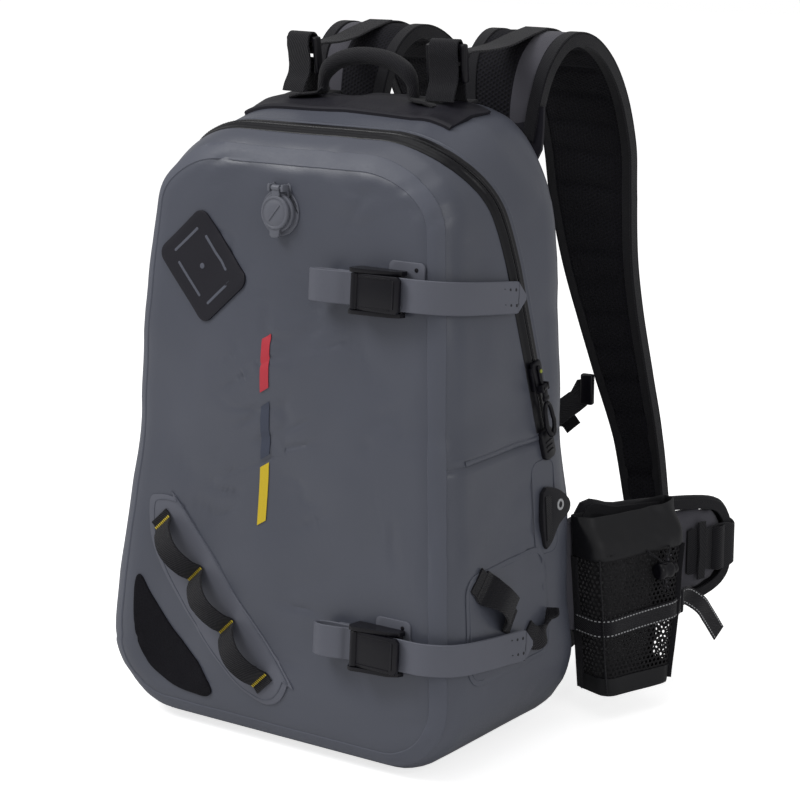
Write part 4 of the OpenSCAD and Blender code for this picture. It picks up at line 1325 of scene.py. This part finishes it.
class SideGear:
    """Rod holder with its patch, and the eyelet tabs."""

    def build(self) -> None:
        """Make patch, holder and tabs."""
        b = Bench()
        b.plate(rounded(112, 88, 14), 0.05, 0.9, bevel=0.45, grid=10)
        b.warp(FORM.drape_side(-22, 118))
        b.finish("rod_patch_made", "coated_cloth", "bag", "strap_film", ["rod_patch"])
        b.tube([Vector((x, y, 0.9)) for x, y in rounded(104, 80, 11, 8)], 0.4, 6, True)
        b.tube([Vector((x, y, 0.1)) for x, y in rounded(30, 75, 9, 8)], 0.4, 6, True)
        b.move(moved(60, 73, 0),
               [v for v in b.bm.verts if v.co.z < 0.55 and abs(v.co.x) < 16 and abs(v.co.y) < 38.5])
        b.warp(FORM.drape_side(-22, 118))
        b.finish("rod_patch_weld", "weld_film", "bag", "strap_film")
        spin = moved(-16, 14, 0) @ turned(-44, "Z")
        arch = smooth_path([(-31, 2.4), (-23, 2.4), (-17, 8), (-8, 14), (6, 14), (15, 8), (21, 2.4), (29, 2.4)], 5)
        path = [Vector((p.x, 0, p.y)) for p in arch]
        b.strip(path, REAR, [24 + 3 * sin(i * 0.3) for i in range(len(path))], 2.2)
        b.move(spin)
        low = smooth_path([(24, -18, 1.6), (32, -26, 3.2), (42, -26, 4.2), (50, -18, 3.0), (56, -8, 1.6)], 5)
        b.strip(low, Vector((0.5, 0.85, 0)), 19.0, 2.2)
        low = smooth_path([(-44, 40, 1.4), (-38, 34, 2.2), (-31, 30, 2.4), (-24, 26, 2.0)], 4)
        b.strip(low, Vector((0.7, 0.7, 0)), 22.0, 2.0)
        b.warp(FORM.drape_side(-22, 118))
        b.finish("rod_holder_made", "black_webbing", "bag", "webbing", ["rod_holder"])
        pts = [(-16, 16), (4, 16), (22, 4), (22, -6), (6, -14), (-6, -26), (-16, -26)]
        for side, name in ((1, "right"), (-1, "left")):
            b = Bench(side < 0)
            b.plate(close_path(pts, 3), 0.0, 3.1, bevel=0.8)
            b.strip([Vector((x, -5, 3.2)) for x in (-14, -10, -6)], REAR, 36.0, 1.6)
            before = set(b.bm.faces)
            b.ring(2.6, 4.6, 2.8, 3.8, (8, 2, 0), steps=28, bevel=0.3)
            fresh = set(b.bm.faces) - before
            b.disc(2.7, 0.4, (8, 2, 3.1), bevel=0.0)
            b.paint(1, lambda face: face in fresh)
            b.move(FORM.on_side(48, 187, 0.2))
            b.finish("side_tab_made_" + name, ["black_webbing", "reflective"], "bag", "webbing",
                     ["side_tab_" + name])


@dataclass(frozen=True)
class TopGear:
    """Reinforcement, grab handle and load lifters on the top."""

    handle_y: float = 24.0
    handle_z: float = 507.0

    def build(self) -> None:
        """Make every piece on the top."""
        self.reinforcement()
        self.handle()
        for side in (1, -1):
            self.lifter(side)

    def reinforcement(self) -> None:
        """Dark patch over the top edge, with a bound rim."""
        b, f = Bench(), FORM
        rows = [[f.flank(q, y, off) for y,
                 off in ((-8, -0.6), (-8, 2.2), (-6.5, 3.2), (-4, 3.2), (-2.5, 2.2), (8, 2.5), (20, 2.6),
                         (34, 2.5), (43, 2.2), (44.5, 3.2), (47, 3.2), (48.5, 2.2), (48.5, -0.6), (20, -0.9))]
                for q in f.arch(True, step=4.0) if abs(q[0]) < 100 and q[1] > 440]
        b.loft(rows)
        b.finish("top_patch", "patch_rubber", "bag", "webbing", ["top_reinforcement"])

    def handle(self) -> None:
        """Padded tube handle on two stitched webbing feet."""
        path = [Vector((44 * cos(a), self.handle_y, self.handle_z + 30 * sin(a) ** 0.7 - 1))
                for a in (pi * (1 - i / 36) for i in range(37))]
        radii = [4.6 + 2.2 * ease(sin(pi * i / 36), 0.1, 0.55) for i in range(37)]
        b = Bench()
        b.tube(path, radii, 16)
        b.finish("handle_tube", "black_webbing", "handle", "webbing", ["grab_handle"])
        for side in (1, -1):
            foot = [Vector((side * x, self.handle_y, z)) for x,
                    z in ((70, 500.6), (60, 503.4), (52, 504.0), (45, 505.2), (41.5, 509))]
            b.strip(foot, REAR, [24, 24, 22, 16, 11], 2.2)
        b.finish("handle_feet", "black_webbing", "bag", "webbing")

    def lifter(self, side: int) -> None:
        """Webbing, ladder-lock and curled tail at one top corner."""
        name = "right" if side > 0 else "left"
        place = moved(68, 44, 494) @ turned(8, "Z") @ turned(6, "X")
        x = RIGHT
        b = Bench(side < 0)
        path = smooth_path([(0, 3, 5.5), (0, 1, 9.2), (0, -0.8, 12), (0, -1.2, 22), (0, -0.6, 33), (0, -4.5, 37)],
                           4)
        b.strip(path, x, 25, 1.8)
        tail = smooth_path([(0, -2, 40), (0, -1, 50), (0, -5, 57.5), (0, -11, 57), (0, -13.5, 49), (0, -12.6, 38),
                            (0, -14.5, 27), (0, -20, 19), (0, -23, 13)], 5)
        b.strip(tail, x, 25, 1.6)
        b.strip([Vector((0, 0, 8.5)), Vector((0, 0, 6.6)), Vector((0, 8, 6.2)), Vector((0, 20, 5.5))], x, 25, 2.4)
        b.move(place)
        b.finish("lifter_webbing_" + name, "black_webbing", "bag", "webbing")
        half = 17
        for s in (-1, 1):
            b.block((5, 7, 30), (s * (half - 2.5), -6.5, 40), 1.6, 3)
        for z, d in ((27.5, 5.5), (36, 4.2), (44.5, 4.2), (53, 6.5)):
            b.block((32, d, 4.4), (0, -6.5, z), 1.4, 3)
        b.move(place)
        b.finish("lifter_lock_" + name, "black_acetal", "bag", "buckle_plastic", ["lifter_" + name])
        path = smooth_path([(73, 39, 535), (73, 46, 541), (74, 70, 541), (76, 96, 543), (77, 124, 549),
                            (78, 150, 553.5)], 6)
        b.strip(path, x, 24, 1.7)
        b.finish("lifter_link_" + name, "black_webbing", None, "webbing",
                 blend=("bag", "strap_r" if side > 0 else "strap_l", Vector((0, 60, 0)), Vector((0, 118, 0))))


@dataclass(frozen=True)
class Harness:
    """Shoulder straps, back pads, lower webbing and sternum strap."""

    stations: tuple[tuple[float, float, float],
                    ...] = ((76, 105, 462), (76, 107, 498), (76, 117, 528), (76, 142, 545), (76, 172, 541),
                            (75, 202, 521), (74, 226, 490), (73, 243, 450), (70, 255, 405), (70, 268, 350),
                            (75, 279, 300), (83, 291, 245), (94, 301, 185), (103, 305, 120))
    widths: tuple[float, ...] = (58, 68, 78, 82, 84, 85, 85, 84, 80, 70, 61, 53, 43, 38)
    thick: float = 11.0
    ridge: float = 30.0

    def build(self) -> None:
        """Make both sides of the harness."""
        self.pads()
        for side in (1, -1):
            self.strap(side)
            self.lower(side)
            self.sternum(side)

    def pads(self) -> None:
        """Swollen back pads and lumbar pad."""
        for name, x, z, w, h, d in (("back_pad_left", -58, 310, 84, 228, 11),
                                    ("back_pad_right", 58, 310, 84, 228, 11),
                                    ("lumbar_pad", 0, 110, 218, 108, 14)):
            b = Bench()
            b.plate(rounded(w, h, 22), 0.4, d, bevel=3.5, grid=12)
            b.warp(lambda v, hh=h,
                   dd=d: Vector((v.x, v.y, v.z - 3.2 * exp(-((((v.y + hh / 2) % (hh / 4)) - hh / 8) / 5) ** 2)
                                 * ease(v.z, dd * 0.5, dd))))
            b.move(moved(x, 95.2, z) @ turned(180, "Z") @ turned(90, "X"))
            b.finish(name, "spacer_mesh", "bag", "pad_mesh", ["back_pads"],
                     padding=Padding(cap=4.0, held=lambda p: p.y < 97.5, fill=0.7))
            rim = [Vector((x - px, 97.0, z + py)) for px, py in rounded(w + 3, h + 3, 23, 8)]
            b.tube(rim, 2.6, 10, True)
            b.finish(name + "_binding", "binding", "bag", "pad_mesh")

    def frames(self, steps: int = 8) -> list[tuple[Vector, Vector, Vector, float, float]]:
        """Centre, width direction, outward direction, width and run of fine stations."""
        path = smooth_path(self.stations, steps)
        out, run = [], 0.0
        for i, p in enumerate(path):
            d = heading(path, i)
            u = RIGHT.cross(d).normalized()
            run += (p - path[i - 1]).length if i else 0.0
            k = min(len(self.widths) - 2, i // steps)
            w = self.widths[k] + (self.widths[k + 1] - self.widths[k]) * (i / steps - k)
            out.append((p, d.cross(u), u, w, run))
        return out

    def strap(self, side: int) -> None:
        """Foam strap: ribbed mesh inside, cloth outside, bound edges."""
        name, body = ("right", "strap_r") if side > 0 else ("left", "strap_l")
        b, stations = Bench(side < 0), self.frames(10)
        rings, marks = [], []
        for i, (p, x, u, w, run) in enumerate(stations):
            t = self.thick * (0.5 + 0.5 * ease(run, 0, 40))
            wave = exp(-(((run % self.ridge) - self.ridge / 2) / 3.4) ** 2)
            ring, mark = [], []
            for k in range(9):
                a = -0.5 + k / 8
                ring.append(p + x * a * w * 0.98 + u * (t * 0.42 + 1.2 * (1 - (2 * a) ** 2)))
                mark.append((run, a * w))
            for k in range(17):
                a = 0.5 - k / 16
                inner = ease(0.5 - abs(a), 0.03, 0.12)
                rib = -3.0 * wave * ease(0.5 - abs(a), 0.10, 0.2) - 1.9 * exp(-((abs(a) - 0.36) / 0.022) ** 2)
                ring.append(p + x * a * w * 0.98 - u * (t * 0.34 + (2.2 + rib) * inner))
                mark.append((run, a * w))
            rings.append(ring)
            marks.append(mark)
        b.loft(rings, marks=marks)
        b.bm.normal_update()
        ways = [x for _, x, _, _, _ in stations[2:]]
        path = [s[0] for s in stations]

        def outer(face: Face) -> bool:
            """Tell the cloth stripe."""
            mid = face.calc_center_median()
            k = min(range(0, len(path), 2), key=lambda i: (path[i] - mid).length_squared)
            away, share = mid - stations[k][0], stations[k][3]
            return away.dot(stations[k][2]) > 1.0 and 0.14 < away.dot(stations[k][1]) / share < 0.40
        b.paint(1, outer)
        pad = b.finish("shoulder_pad_" + name, ["spacer_mesh", "pad_cloth"], body, "pad_mesh", ["strap_" + name],
                       crease=60)
        for edge in (-1, 1):
            b.strip([p + x * edge * (w / 2 - 4.0) + u * (self.thick * 0.42 + 1.0) for p, x, u, w,
                     _ in stations[2:]], ways, 10.5, 1.2)
            b.strip([p - u * 0.2 + x * edge * (w / 2 + 0.2) for p, x, u, w, _ in stations[1:]],
                    [u for _, _, u, _, _ in stations[1:]], self.thick * 0.98, 2.2, 0.45)
            b.strip([p + x * edge * (w / 2 - 3.6) - u * (self.thick * 0.36 + 0.6) for p, x, u, w,
                     _ in stations[2:]], ways, 8.5, 1.2)
        p, x, u, w, _ = stations[-1]
        b.strip([p - x * (w / 2 + 1), p + x * (w / 2 + 1)], [u, u], self.thick + 1, 2.4)
        b.finish("shoulder_binding_" + name, "binding", body, "pad_mesh")
        lay = [(p + u * (self.thick * 0.42 + 2.6), x) for p, x, u, w, run in stations[34:]]
        b.strip([q for q, _ in lay], [x for _, x in lay], 25, 1.6)
        for at in (52, 66, 80, 94, 108, 122):
            p, x, u, _, _ = stations[min(at, len(stations) - 1)]
            b.strip([p + u * 8.4 - x * 12.5, p + u * 8.4 + x * 12.5], [x.cross(u)] * 2, 4.0, 0.8)
        b.finish("shoulder_webbing_" + name, "black_webbing", body, "webbing")
        rows = []
        for z, y, w in ((440, 95.2, 64), (452, 96.5, 70), (462, 100.5, 76), (476, 101.5, 77), (496, 102.5, 77)):
            rows.append([Vector((76 + s * w / 2, y + dy, z)) for s,
                         dy in ((-1, 0), (-1, 2.6), (-0.5, 4.6), (0, 5.2), (0.5, 4.6), (1, 2.6), (1, 0), (0, -1))])
        b.loft(rows)
        b.finish("strap_root_" + name, "patch_rubber", None, "pad_mesh",
                 blend=("bag", body, Vector((0, 0, 440)), Vector((0, 0, 492))))

    def lower(self, side: int) -> None:
        """Ladder-lock and the webbing down to the bag's bottom corner."""
        name, body = ("right", "strap_r") if side > 0 else ("left", "strap_l")
        place = moved(103.6, 305.2, 104) @ turned(4, "X") @ turned(90, "X")
        b = Bench(side < 0)
        for s in (-1, 1):
            b.block((5, 28, 5.6), (s * 15.5, 0, 0), 1.6, 3)
        for y in (-12, -4, 4, 12):
            b.block((30, 4.0, 4.6), (0, y, 0), 1.4, 3)
        b.move(place)
        b.finish("ladder_lock_" + name, "black_acetal", body, "buckle_plastic", ["ladderlock_" + name])
        start, stop = Vector((103.8, 303.5, 89)), Vector((126, 98.5, 44))
        path = [Vector((103.6, 303, 112)), Vector((103.6, 306.5, 101)), Vector((103.7, 305.5, 95))]
        path += [start.lerp(stop, k) + Vector((0, 0, -10 * sin(pi * k))) for k in (i / 24 for i in range(25))]
        across = [RIGHT] * len(path)
        b.strip(path, across, 25, 1.7)
        tail = smooth_path([(103.6, 308.6, 112), (103.6, 311, 100), (104, 309, 84), (104.5, 304, 70),
                            (105, 302, 58)], 5)
        b.strip(tail, Vector((1, 0, 0.06)), 25, 1.6)
        b.finish("lower_webbing_made_" + name, "black_webbing", body, "webbing", ["lower_webbing_" + name])
        b.plate([(-20, -16), (20, -16), (14, 16), (-14, 16)], 0.0, 4.0, bevel=1.2)
        b.move(moved(126, 93.5, 50) @ turned(180, "Z") @ turned(90, "X"))
        b.finish("webbing_anchor_" + name, "patch_rubber", "bag", "webbing")

    def sternum(self, side: int) -> None:
        """Half of the sternum strap; the right half is longer and hangs down."""
        name, body = ("right", "strap_r") if side > 0 else ("left", "strap_l")
        reach, droop = (50, -38) if side > 0 else (20, -8)
        place, swing = moved(53.6, 281, 225), turned(droop, "Y")
        b = Bench(side < 0)
        b.block((12, 6.5, 28), (-4, 6, 0), 1.8, 3, turned(6, "Z"))
        clip = b.block((13, 7.5, 24), (-reach - 13.5, 5, 0), 2.2,
                       3) + b.block((4, 4, 15), (-reach - 20, 5, 0), 1.2)
        b.move(swing, clip)
        b.move(place)
        b.finish("sternum_clip_" + name, "black_acetal", body, "buckle_plastic", ["sternum_" + name])
        web = [Vector((-2, 8.5, 0)),
               Vector((-8, 6.0, 0))] + [swing @ Vector((-9 - reach * k / 8, 5, 0)) for k in range(1, 9)]
        b.strip(web, swing.to_3x3() @ UP, 20, 1.8)
        tail = smooth_path([swing @ Vector(p)
                            for p in ((-reach - 8, 9.4, 0), (-reach + 2, 11, -2), (-reach + 8, 12, -8),
                                      (-reach + 9, 12.5, -18))], 4)
        b.strip(tail, Vector((0.5, 0, 1)), 18, 1.4)
        b.move(place)
        b.finish("sternum_webbing_" + name, "black_webbing", body, "webbing")


WING = moved(152, 101, 0) @ turned(72, "Z")
POUCH = WING @ moved(-16, 0, -14)


@dataclass(frozen=True)
class HipWing:
    """Padded hip wing with bound edges and a webbing loop."""

    side: int
    outline: Outline = ((3, 70), (40, 66), (80, 69), (120, 72), (150, 78), (166, 88), (171, 104), (171, 128),
                        (164, 146), (148, 156), (100, 163), (40, 168), (3, 168))

    def build(self) -> None:
        """Make pad, binding, webbing and root."""
        name, body = ("right", "wing_r") if self.side > 0 else ("left", "wing_l")
        mid = (88.0, 118.0)
        b = Bench(self.side < 0)
        shape = [(mid[0] + (x - mid[0]) * 0.965, mid[1] + (z - mid[1]) * 0.94) for x, z in self.rim()]
        b.plate(shape, -4.4, 2.6, bevel=1.6)
        b.move(WING @ moved(0, 0.6, 0) @ turned(90, "X"))
        inner = WING.to_3x3() @ REAR
        inner.x *= self.side
        b.finish("wing_pad_" + name, ["pad_cloth", "spacer_mesh"], body, "wing_cloth", ["wing_" + name],
                 padding=Padding(cap=3.2, fill=0.6, face=lambda n: int(n.dot(inner) > 0.35)))
        rim = self.rim()
        b.tube([WING @ Vector((x, 0.8, z)) for x, z in rim], 4.2, 12, True)
        for dy in (-3.9, 5.2):
            path = [WING @ Vector((mid[0] + (x - mid[0]) * 0.968, dy, mid[1] + (z - mid[1]) * 0.945)) for x,
                    z in rim]
            path.append(path[0])
            ways = []
            for i, p in enumerate(path):
                d = heading(path, i)
                ways.append(d.cross(WING.to_3x3() @ REAR))
            b.strip(path, ways, 9.0, 1.4)
        b.finish("wing_binding_" + name, "binding", body, "wing_cloth")
        up = UP
        path = smooth_path([(118, -6.6, 117), (124, -7.4, 117), (134, -8.6, 117.4), (142, -7.4, 117),
                            (158, -7.2, 116), (170, -7.0, 116), (174.2, -4, 116), (175, 2, 116), (174, 8, 116)], 4)
        b.strip([WING @ p for p in path], up, [38 + 3 * sin(i * 0.5) for i in range(len(path))], 2.0)
        path = smooth_path([(146, -8.2, 116), (149, -10.6, 116), (153, -11.2, 116), (157, -9.8, 116),
                            (159, -8, 116)], 4)
        b.strip([WING @ p for p in path], up, 38, 1.8)
        path = [WING @ Vector(p)
                for p in ((132, -9.4, 92), (132, -10.0, 104), (132.5, -10.4, 118), (132, -10, 130),
                          (132, -9.4, 142))]
        b.strip(path, WING.to_3x3() @ RIGHT, 9, 2.0)
        b.finish("wing_loop_" + name, "black_webbing", body, "webbing", ["wing_webbing_" + name])
        rows = []
        for x, low, high in ((-26, 78, 160), (-14, 75, 163), (-4, 72, 166), (8, 70, 167)):
            rows.append([WING @ Vector((x, y, z)) for y,
                         z in ((-3, low), (-3.4, (low + high) / 2), (-3, high), (2, high + 1), (4, high),
                               (4.6, (low + high) / 2), (4, low), (2, low - 1))])
        b.loft(rows)
        start, stop = WING @ Vector((-16, 0, 0)), WING @ Vector((8, 0, 0))
        start.x, stop.x = start.x * self.side, stop.x * self.side
        b.finish("wing_root_" + name, "pad_cloth", None, "wing_cloth", blend=("bag", body, start, stop))

    def rim(self) -> list[tuple[float, float]]:
        """A smooth closed outline of the wing."""
        return close_path(self.outline, 5)


@dataclass(frozen=True)
class Pouch:
    """Mesh pouch on the right wing, with collar, band and cord lock."""

    low: float = 36.0
    high: float = 152.0

    def build(self) -> None:
        """Make every piece of the pouch."""
        self.net()
        self.trim()
        self.collar()
        self.band()
        self.cord()

    def section(self, z: float, grow: float, steps: int = 6, lines: int = 8) -> list[Vector]:
        """U-shaped wall at a height, in the wing's frame."""
        k = (z - 36) / 148
        x0, x1, d = 20 - 14 * k, 92 + 16 * k, 32
        r, y0, turns = 12.0, -4.6, [pi / 2 * i / steps for i in range(steps)]
        c = y0 - d + r
        out = [Vector((x1 + grow, y0 + (c - y0) * i / lines, z)) for i in range(lines)]
        out += [Vector((x1 - r + (r + grow) * cos(a), c - (r + grow) * sin(a), z)) for a in turns]
        out += [Vector((x1 - r + (x0 + r - (x1 - r)) * i / 14, c - r - grow, z)) for i in range(14)]
        out += [Vector((x0 + r - (r + grow) * sin(a), c - (r + grow) * cos(a), z)) for a in turns]
        return out + [Vector((x0 - grow, c + (y0 - c) * i / lines, z)) for i in range(lines + 1)]

    def girth(self, z: float) -> float:
        """Length of the U-shaped wall at a height."""
        ring = self.section(z, 0.0)
        return sum((b - a).length for a, b in zip(ring, ring[1:]))

    def soft(self, p: Vector, amount: float) -> Vector:
        """Give the cloth a few slack waves."""
        wave = noise.noise(Vector((p.x * 0.02, p.z * 0.03, p.y * 0.02)) + Vector((4, 2, 9)))
        return p + Vector((0, -amount * wave, 0)) * ease(-p.y, 12, 30)

    def net(self) -> None:
        """The open honeycomb wall."""
        b = Bench()
        rings, marks = [], []
        for i in range(25):
            z = self.low + (self.high + 4 - self.low) * i / 24
            ring = self.section(z, 0.0)
            run, mark = 0.0, []
            for j, p in enumerate(ring):
                run += (p - ring[j - 1]).length if j else 0.0
                mark.append((run, z))
            middle = run / 2
            marks.append([(u - middle, v) for u, v in mark])
            rings.append([POUCH @ self.soft(p, 2.0) for p in ring])
        b.loft(rings, closed=False, marks=marks)
        wall = b.finish("pouch_net_wall", "pouch_net", "wing_r", "pouch_mesh", ["pouch_body"], recalc=True)
        self.girth((self.low + self.high) / 2) / 1000

    def trim(self) -> None:
        """Solid bottom cup, bound side edges and the back of the pouch."""
        b = Bench()
        rings = []
        for z, grow in ((34, -8), (34, -1.5), (35.2, 0.6), (38, 0.9), (44, 0.9), (50, 0.8), (50.2, -0.6),
                        (40, -0.8), (36, -1.6), (35.6, -8)):
            ring = self.section(max(z, 36), grow)
            rings.append([POUCH @ self.soft(Vector((p.x, p.y, z)), 2.0) for p in ring])
        b.loft(rings, closed=True)
        b.finish("pouch_cup", "ripstop", "wing_r", "pouch_mesh")
        b, wall = Bench(), []
        for z in range(34, 157, 12):
            ring = self.section(max(z, 36), -0.6)
            wall.append([Vector((ring[-1].x + (ring[0].x - ring[-1].x) * i / 12, y, z)) for y,
                         order in ((-5.4, 1), (-4.2, -1)) for i in range(13)[::order]])
        b.loft([[POUCH @ p for p in row] for row in wall])
        b.finish("pouch_back", "pouch_lining", "wing_r", "pouch_mesh")
        for end in (0, -1):
            path = [POUCH @ (self.section(z, 0.6)[end] + Vector((0, -1.0, 0))) for z in range(36, 154, 6)]
            b.strip(path, POUCH.to_3x3() @ REAR, 9.0, 2.0)
        for k in (11, 31):
            path = [POUCH @ self.soft(self.section(z, 0.7)[k], 2.0) for z in range(38, 154, 6)]
            away = POUCH.to_3x3() @ Vector((0.7 if k == 31 else -0.7, 0.7, 0))
            b.strip(path, away.normalized(), 7.0, 1.1)
        b.finish("pouch_edges", "binding", "wing_r", "pouch_mesh")

    def collar(self) -> None:
        """Gathered nylon collar with a folded hem."""
        b = Bench()
        rings = []
        levels = [(151, 1.2), (153.5, 2.2), (157, 1.4), (162, 1.0), (168, 1.1), (174, 1.0), (179, 1.2), (183, 1.6),
                  (185.5, 1.2), (185.8, 0.2), (184, -0.8), (175, -1.0), (163, -1.1), (154, -1.0), (151, 0.2)]
        for z, grow in levels:
            ring = self.section(z, grow)
            back = [ring[-1].lerp(ring[0], i / 12) + Vector((0, 0.9 + 0.5 * grow, 0)) for i in range(1, 12)]
            full = []
            for j, p in enumerate(ring + back):
                wave = noise.noise(Vector((p.x * 0.05, z * 0.03, p.y * 0.06)) + Vector((1, 8, 3))) * 3.2
                wave += 1.4 * sin(p.x * 0.28 + z * 0.11) * ease(p.x, 50, 88)
                wave *= ease(-p.y, 6, 20) * ease(z, 150, 158)
                lean_in = 15.0 * ease(z, 160, 186) * ease(-p.y, 8, 34)
                full.append(POUCH @ (p + Vector((0, lean_in - wave, -2.0 * sin((p.x - 3) / 111 * pi)
                                                 * ease(z, 160, 185)))))
            rings.append(full)
        b.loft(rings, wrap=True)
        made = b.finish("pouch_collar_made", "ripstop", "wing_r", "collar_cloth", ["pouch_collar"], soft=1)
        (self.girth(168) + self.section(168, 0.0)[0].x - self.section(168, 0.0)[-1].x) / 1000

    def band(self) -> None:
        """Webbing band with reflective stitches and a free tail."""
        b, marks = Bench(), Bench()
        ring = [self.soft(p, 2.0) for p in self.section(95.5, 1.6)]
        path = [POUCH @ Vector((p.x, p.y, 95.5 + 0.05 * (p.x - 50))) for p in ring]
        b.strip(path, UP, 16, 1.3)
        tail = smooth_path([(100, -34, 97), (107, -29, 99), (114, -24, 101), (124, -20, 98), (138, -21, 88),
                            (150, -17, 76), (160, -15, 64), (167, -14, 55)], 5)
        tail_path = [POUCH @ p for p in tail]
        way = POUCH.to_3x3() @ Vector((0.72, 0.1, 0.69))
        b.strip(tail_path, [UP.lerp(way, ease(i, 4, 14)) for i in range(len(tail))], 16, 1.4)
        b.block((9, 7, 20), POUCH @ Vector((106, -27, 99)), 2.0, 2, turned(72 - 40, "Z"))
        b.finish("pouch_band_made", "black_webbing", "wing_r", "band_cloth", ["pouch_band"])
        for line, sides in ((path, [UP] * len(path)), (tail_path, None)):
            run, last = 0.0, -9.0
            for i in range(1, len(line)):
                d = line[i] - line[i - 1]
                steps = max(1, int(d.length / 0.5))
                for k in range(steps):
                    run += d.length / steps
                    if run - last < 3.1:
                        continue
                    last = run
                    here = line[i - 1] + d * (k / steps)
                    side = sides[i] if sides else UP.lerp(way, ease(i, 4, 14)).normalized()
                    out = d.normalized().cross(side).normalized()
                    axes = Matrix((d.normalized(), side, out)).transposed().to_4x4()
                    for s in (-1, 1):
                        for face in (1, -1):
                            marks.block((1.7, 0.8, 0.5), here + side * s * 6.2 + out * face * 0.75, 0, turn=axes)
        marks.finish("band_stitches", "reflective", "wing_r", "band_cloth")

    def cord(self) -> None:
        """Cord lock, its sprung button and the short drawcord."""
        place = POUCH @ moved(72, -44.8, 136) @ turned(90, "Y")
        b = Bench()
        profile = [(4.5, 7.5), (5.8, 7.5), (6.9, 6.2), (7, 3), (6.4, 1.5), (6.4, -1.5), (7, -3), (7, -5.6),
                   (6.0, -7.2), (4, -7.6), (0.01, -7.6)]
        b.spin(profile, 32)
        for s in (-1, 1):
            b.ring(1.9, 3.1, -0.6, 0.8, (s * 6.6, 0, 0), turned(90, "Y"), 18, 0.3)
        b.move(place)
        lock = b.finish("cord_lock_made", "black_acetal", "wing_r", "buckle_plastic", ["cord_lock"], crease=50)
        b.disc(4.1, 7, (0, 0, 10), bevel=1.0, segments=28)
        b.ring(1.4, 2.2, 13.0, 13.6, (0, 0, 0), steps=18, bevel=0.2)
        b.move(place)
        button = b.finish("cord_button_made", "black_acetal", "button", "buckle_plastic", ["cord_button"])
        loop = smooth_path([(58, -39, 154), (62, -42.5, 150), (68, -45, 145), (71, -45, 137), (70.6, -45.4, 128),
                            (72, -46.2, 122.5), (73.4, -45.4, 128), (73, -45, 137), (75, -45, 146),
                            (80, -42.5, 151), (83, -39, 154)], 6)
        run = [POUCH @ p for p in loop]
        b.tube(run, 0.8, 10)
        cord = b.finish("draw_cord", "binding", "wing_r", "collar_cloth")


@dataclass(frozen=True)
class Studio:
    """Pale floor, soft lamps and the camera."""

    azimuth: float = 35.37
    elevation: float = 13.03
    distance: float = 1.870
    target: tuple[float, float, float] = (0.0482, 0.0, 0.2690)
    lens: float = 106.2
    lamps: tuple[tuple[str, float, float, float, float, float],
                 ...] = (("key", -42.0, 46.0, 2.6, 1.1, 29.0), ("fill", 70.0, 22.0, 2.8, 1.2, 10.0),
                         ("top", 10.0, 86.0, 2.4, 1.8, 10.0))

    @staticmethod
    def stand(data: bpy.types.ID, middle: Sequence[float], azimuth: float, elevation: float,
              distance: float) -> bpy.types.Object:
        """Stand a camera or lamp off a point, facing it."""
        a, e = radians(azimuth), radians(elevation)
        away = Vector((sin(a) * cos(e), -cos(a) * cos(e), sin(e)))
        made = bpy.data.objects.new(data.name, data)
        made.location = Vector(middle) + away * distance
        made.rotation_euler = away.to_track_quat("Z", "Y").to_euler()
        bpy.context.scene.collection.objects.link(made)
        return made

    def camera(self) -> None:
        """Place the camera."""
        data = bpy.data.cameras.new("camera")
        data.lens, data.sensor_width, data.clip_end = self.lens, 36.0, 50.0
        bpy.context.scene.camera = self.stand(data, self.target, self.azimuth, self.elevation, self.distance)

    def light(self) -> None:
        """Place the area lamps and the world light."""
        for name, azimuth, elevation, distance, size, power in self.lamps:
            data = bpy.data.lights.new(name, "AREA")
            data.shape, data.size, data.energy = "SQUARE", size, power
            self.stand(data, (0.03, 0.05, 0.25), azimuth, elevation, distance)
        world = bpy.data.worlds.new("studio")
        world.use_nodes = True
        g = Graph(world.node_tree)
        shade = world.node_tree.nodes["Background"]
        seen = g.add("LightPath")
        white = g.math("MAXIMUM", seen.outputs["Is Camera Ray"], seen.outputs["Is Transmission Ray"])
        g.fill(shade, Strength=g.math("MULTIPLY_ADD", white, 0.62, 0.38), Color=(1.0, 1.0, 1.0, 1.0))
        bpy.context.scene.world = world

    def floor(self) -> None:
        """A white floor that keeps the shadow under the bag."""
        bm = bmesh.new()
        bmesh.ops.create_grid(bm, x_segments=1, y_segments=1, size=8.0)
        mesh = bpy.data.meshes.new("floor")
        bm.to_mesh(mesh)
        bm.free()
        floor = bpy.data.objects.new("floor", mesh)
        mat = bpy.data.materials.new("floor_paper")
        mat.use_nodes = True
        g = Graph(mat.node_tree)
        shader = mat.node_tree.nodes["Principled BSDF"]
        seen = g.add("LightPath")
        g.fill(shader, Base_Color=(0.82, 0.82, 0.82, 1.0), Roughness=0.9, Emission_Color=(1.0, 1.0, 1.0, 1.0),
               Emission_Strength=g.math("MULTIPLY", seen.outputs["Is Camera Ray"], 0.74))
        mesh.materials.append(mat)
        bpy.context.scene.collection.objects.link(floor)


def dress_frame() -> None:
    """Give the CAD pieces that stay in view their finish."""
    for node, name in (("base_boot", "boot_rubber"), ("frame_sheet", "board")):
        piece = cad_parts[node]
        piece.data.materials.clear()
        piece.data.materials.append(WARDROBE.get(name))


def main() -> None:
    """Build the whole scene in order."""
    logging.basicConfig(level=logging.INFO, format="%(name)s: %(message)s")
    studio = Studio()
    studio.camera()
    studio.light()
    studio.floor()
    bpy.context.scene.view_settings.view_transform = "Standard"
    dress_frame()
    Shell().build()
    Zipper().build()
    AirValve().build()
    LashPatch().build()
    CompressionStrap("upper", 374, 46, 132, 33, 95, 14, "front_flap", "upper_cam").build()
    CompressionStrap("lower", 104, 62, 134, 50, 108, 4, "bag", "lower_cam").build()
    ToolLoops().build()
    SideGear().build()
    TopGear().build()
    Harness().build()
    for side in (1, -1):
        HipWing(side).build()
    Pouch().build()


if __name__ == "__main__":
    main()
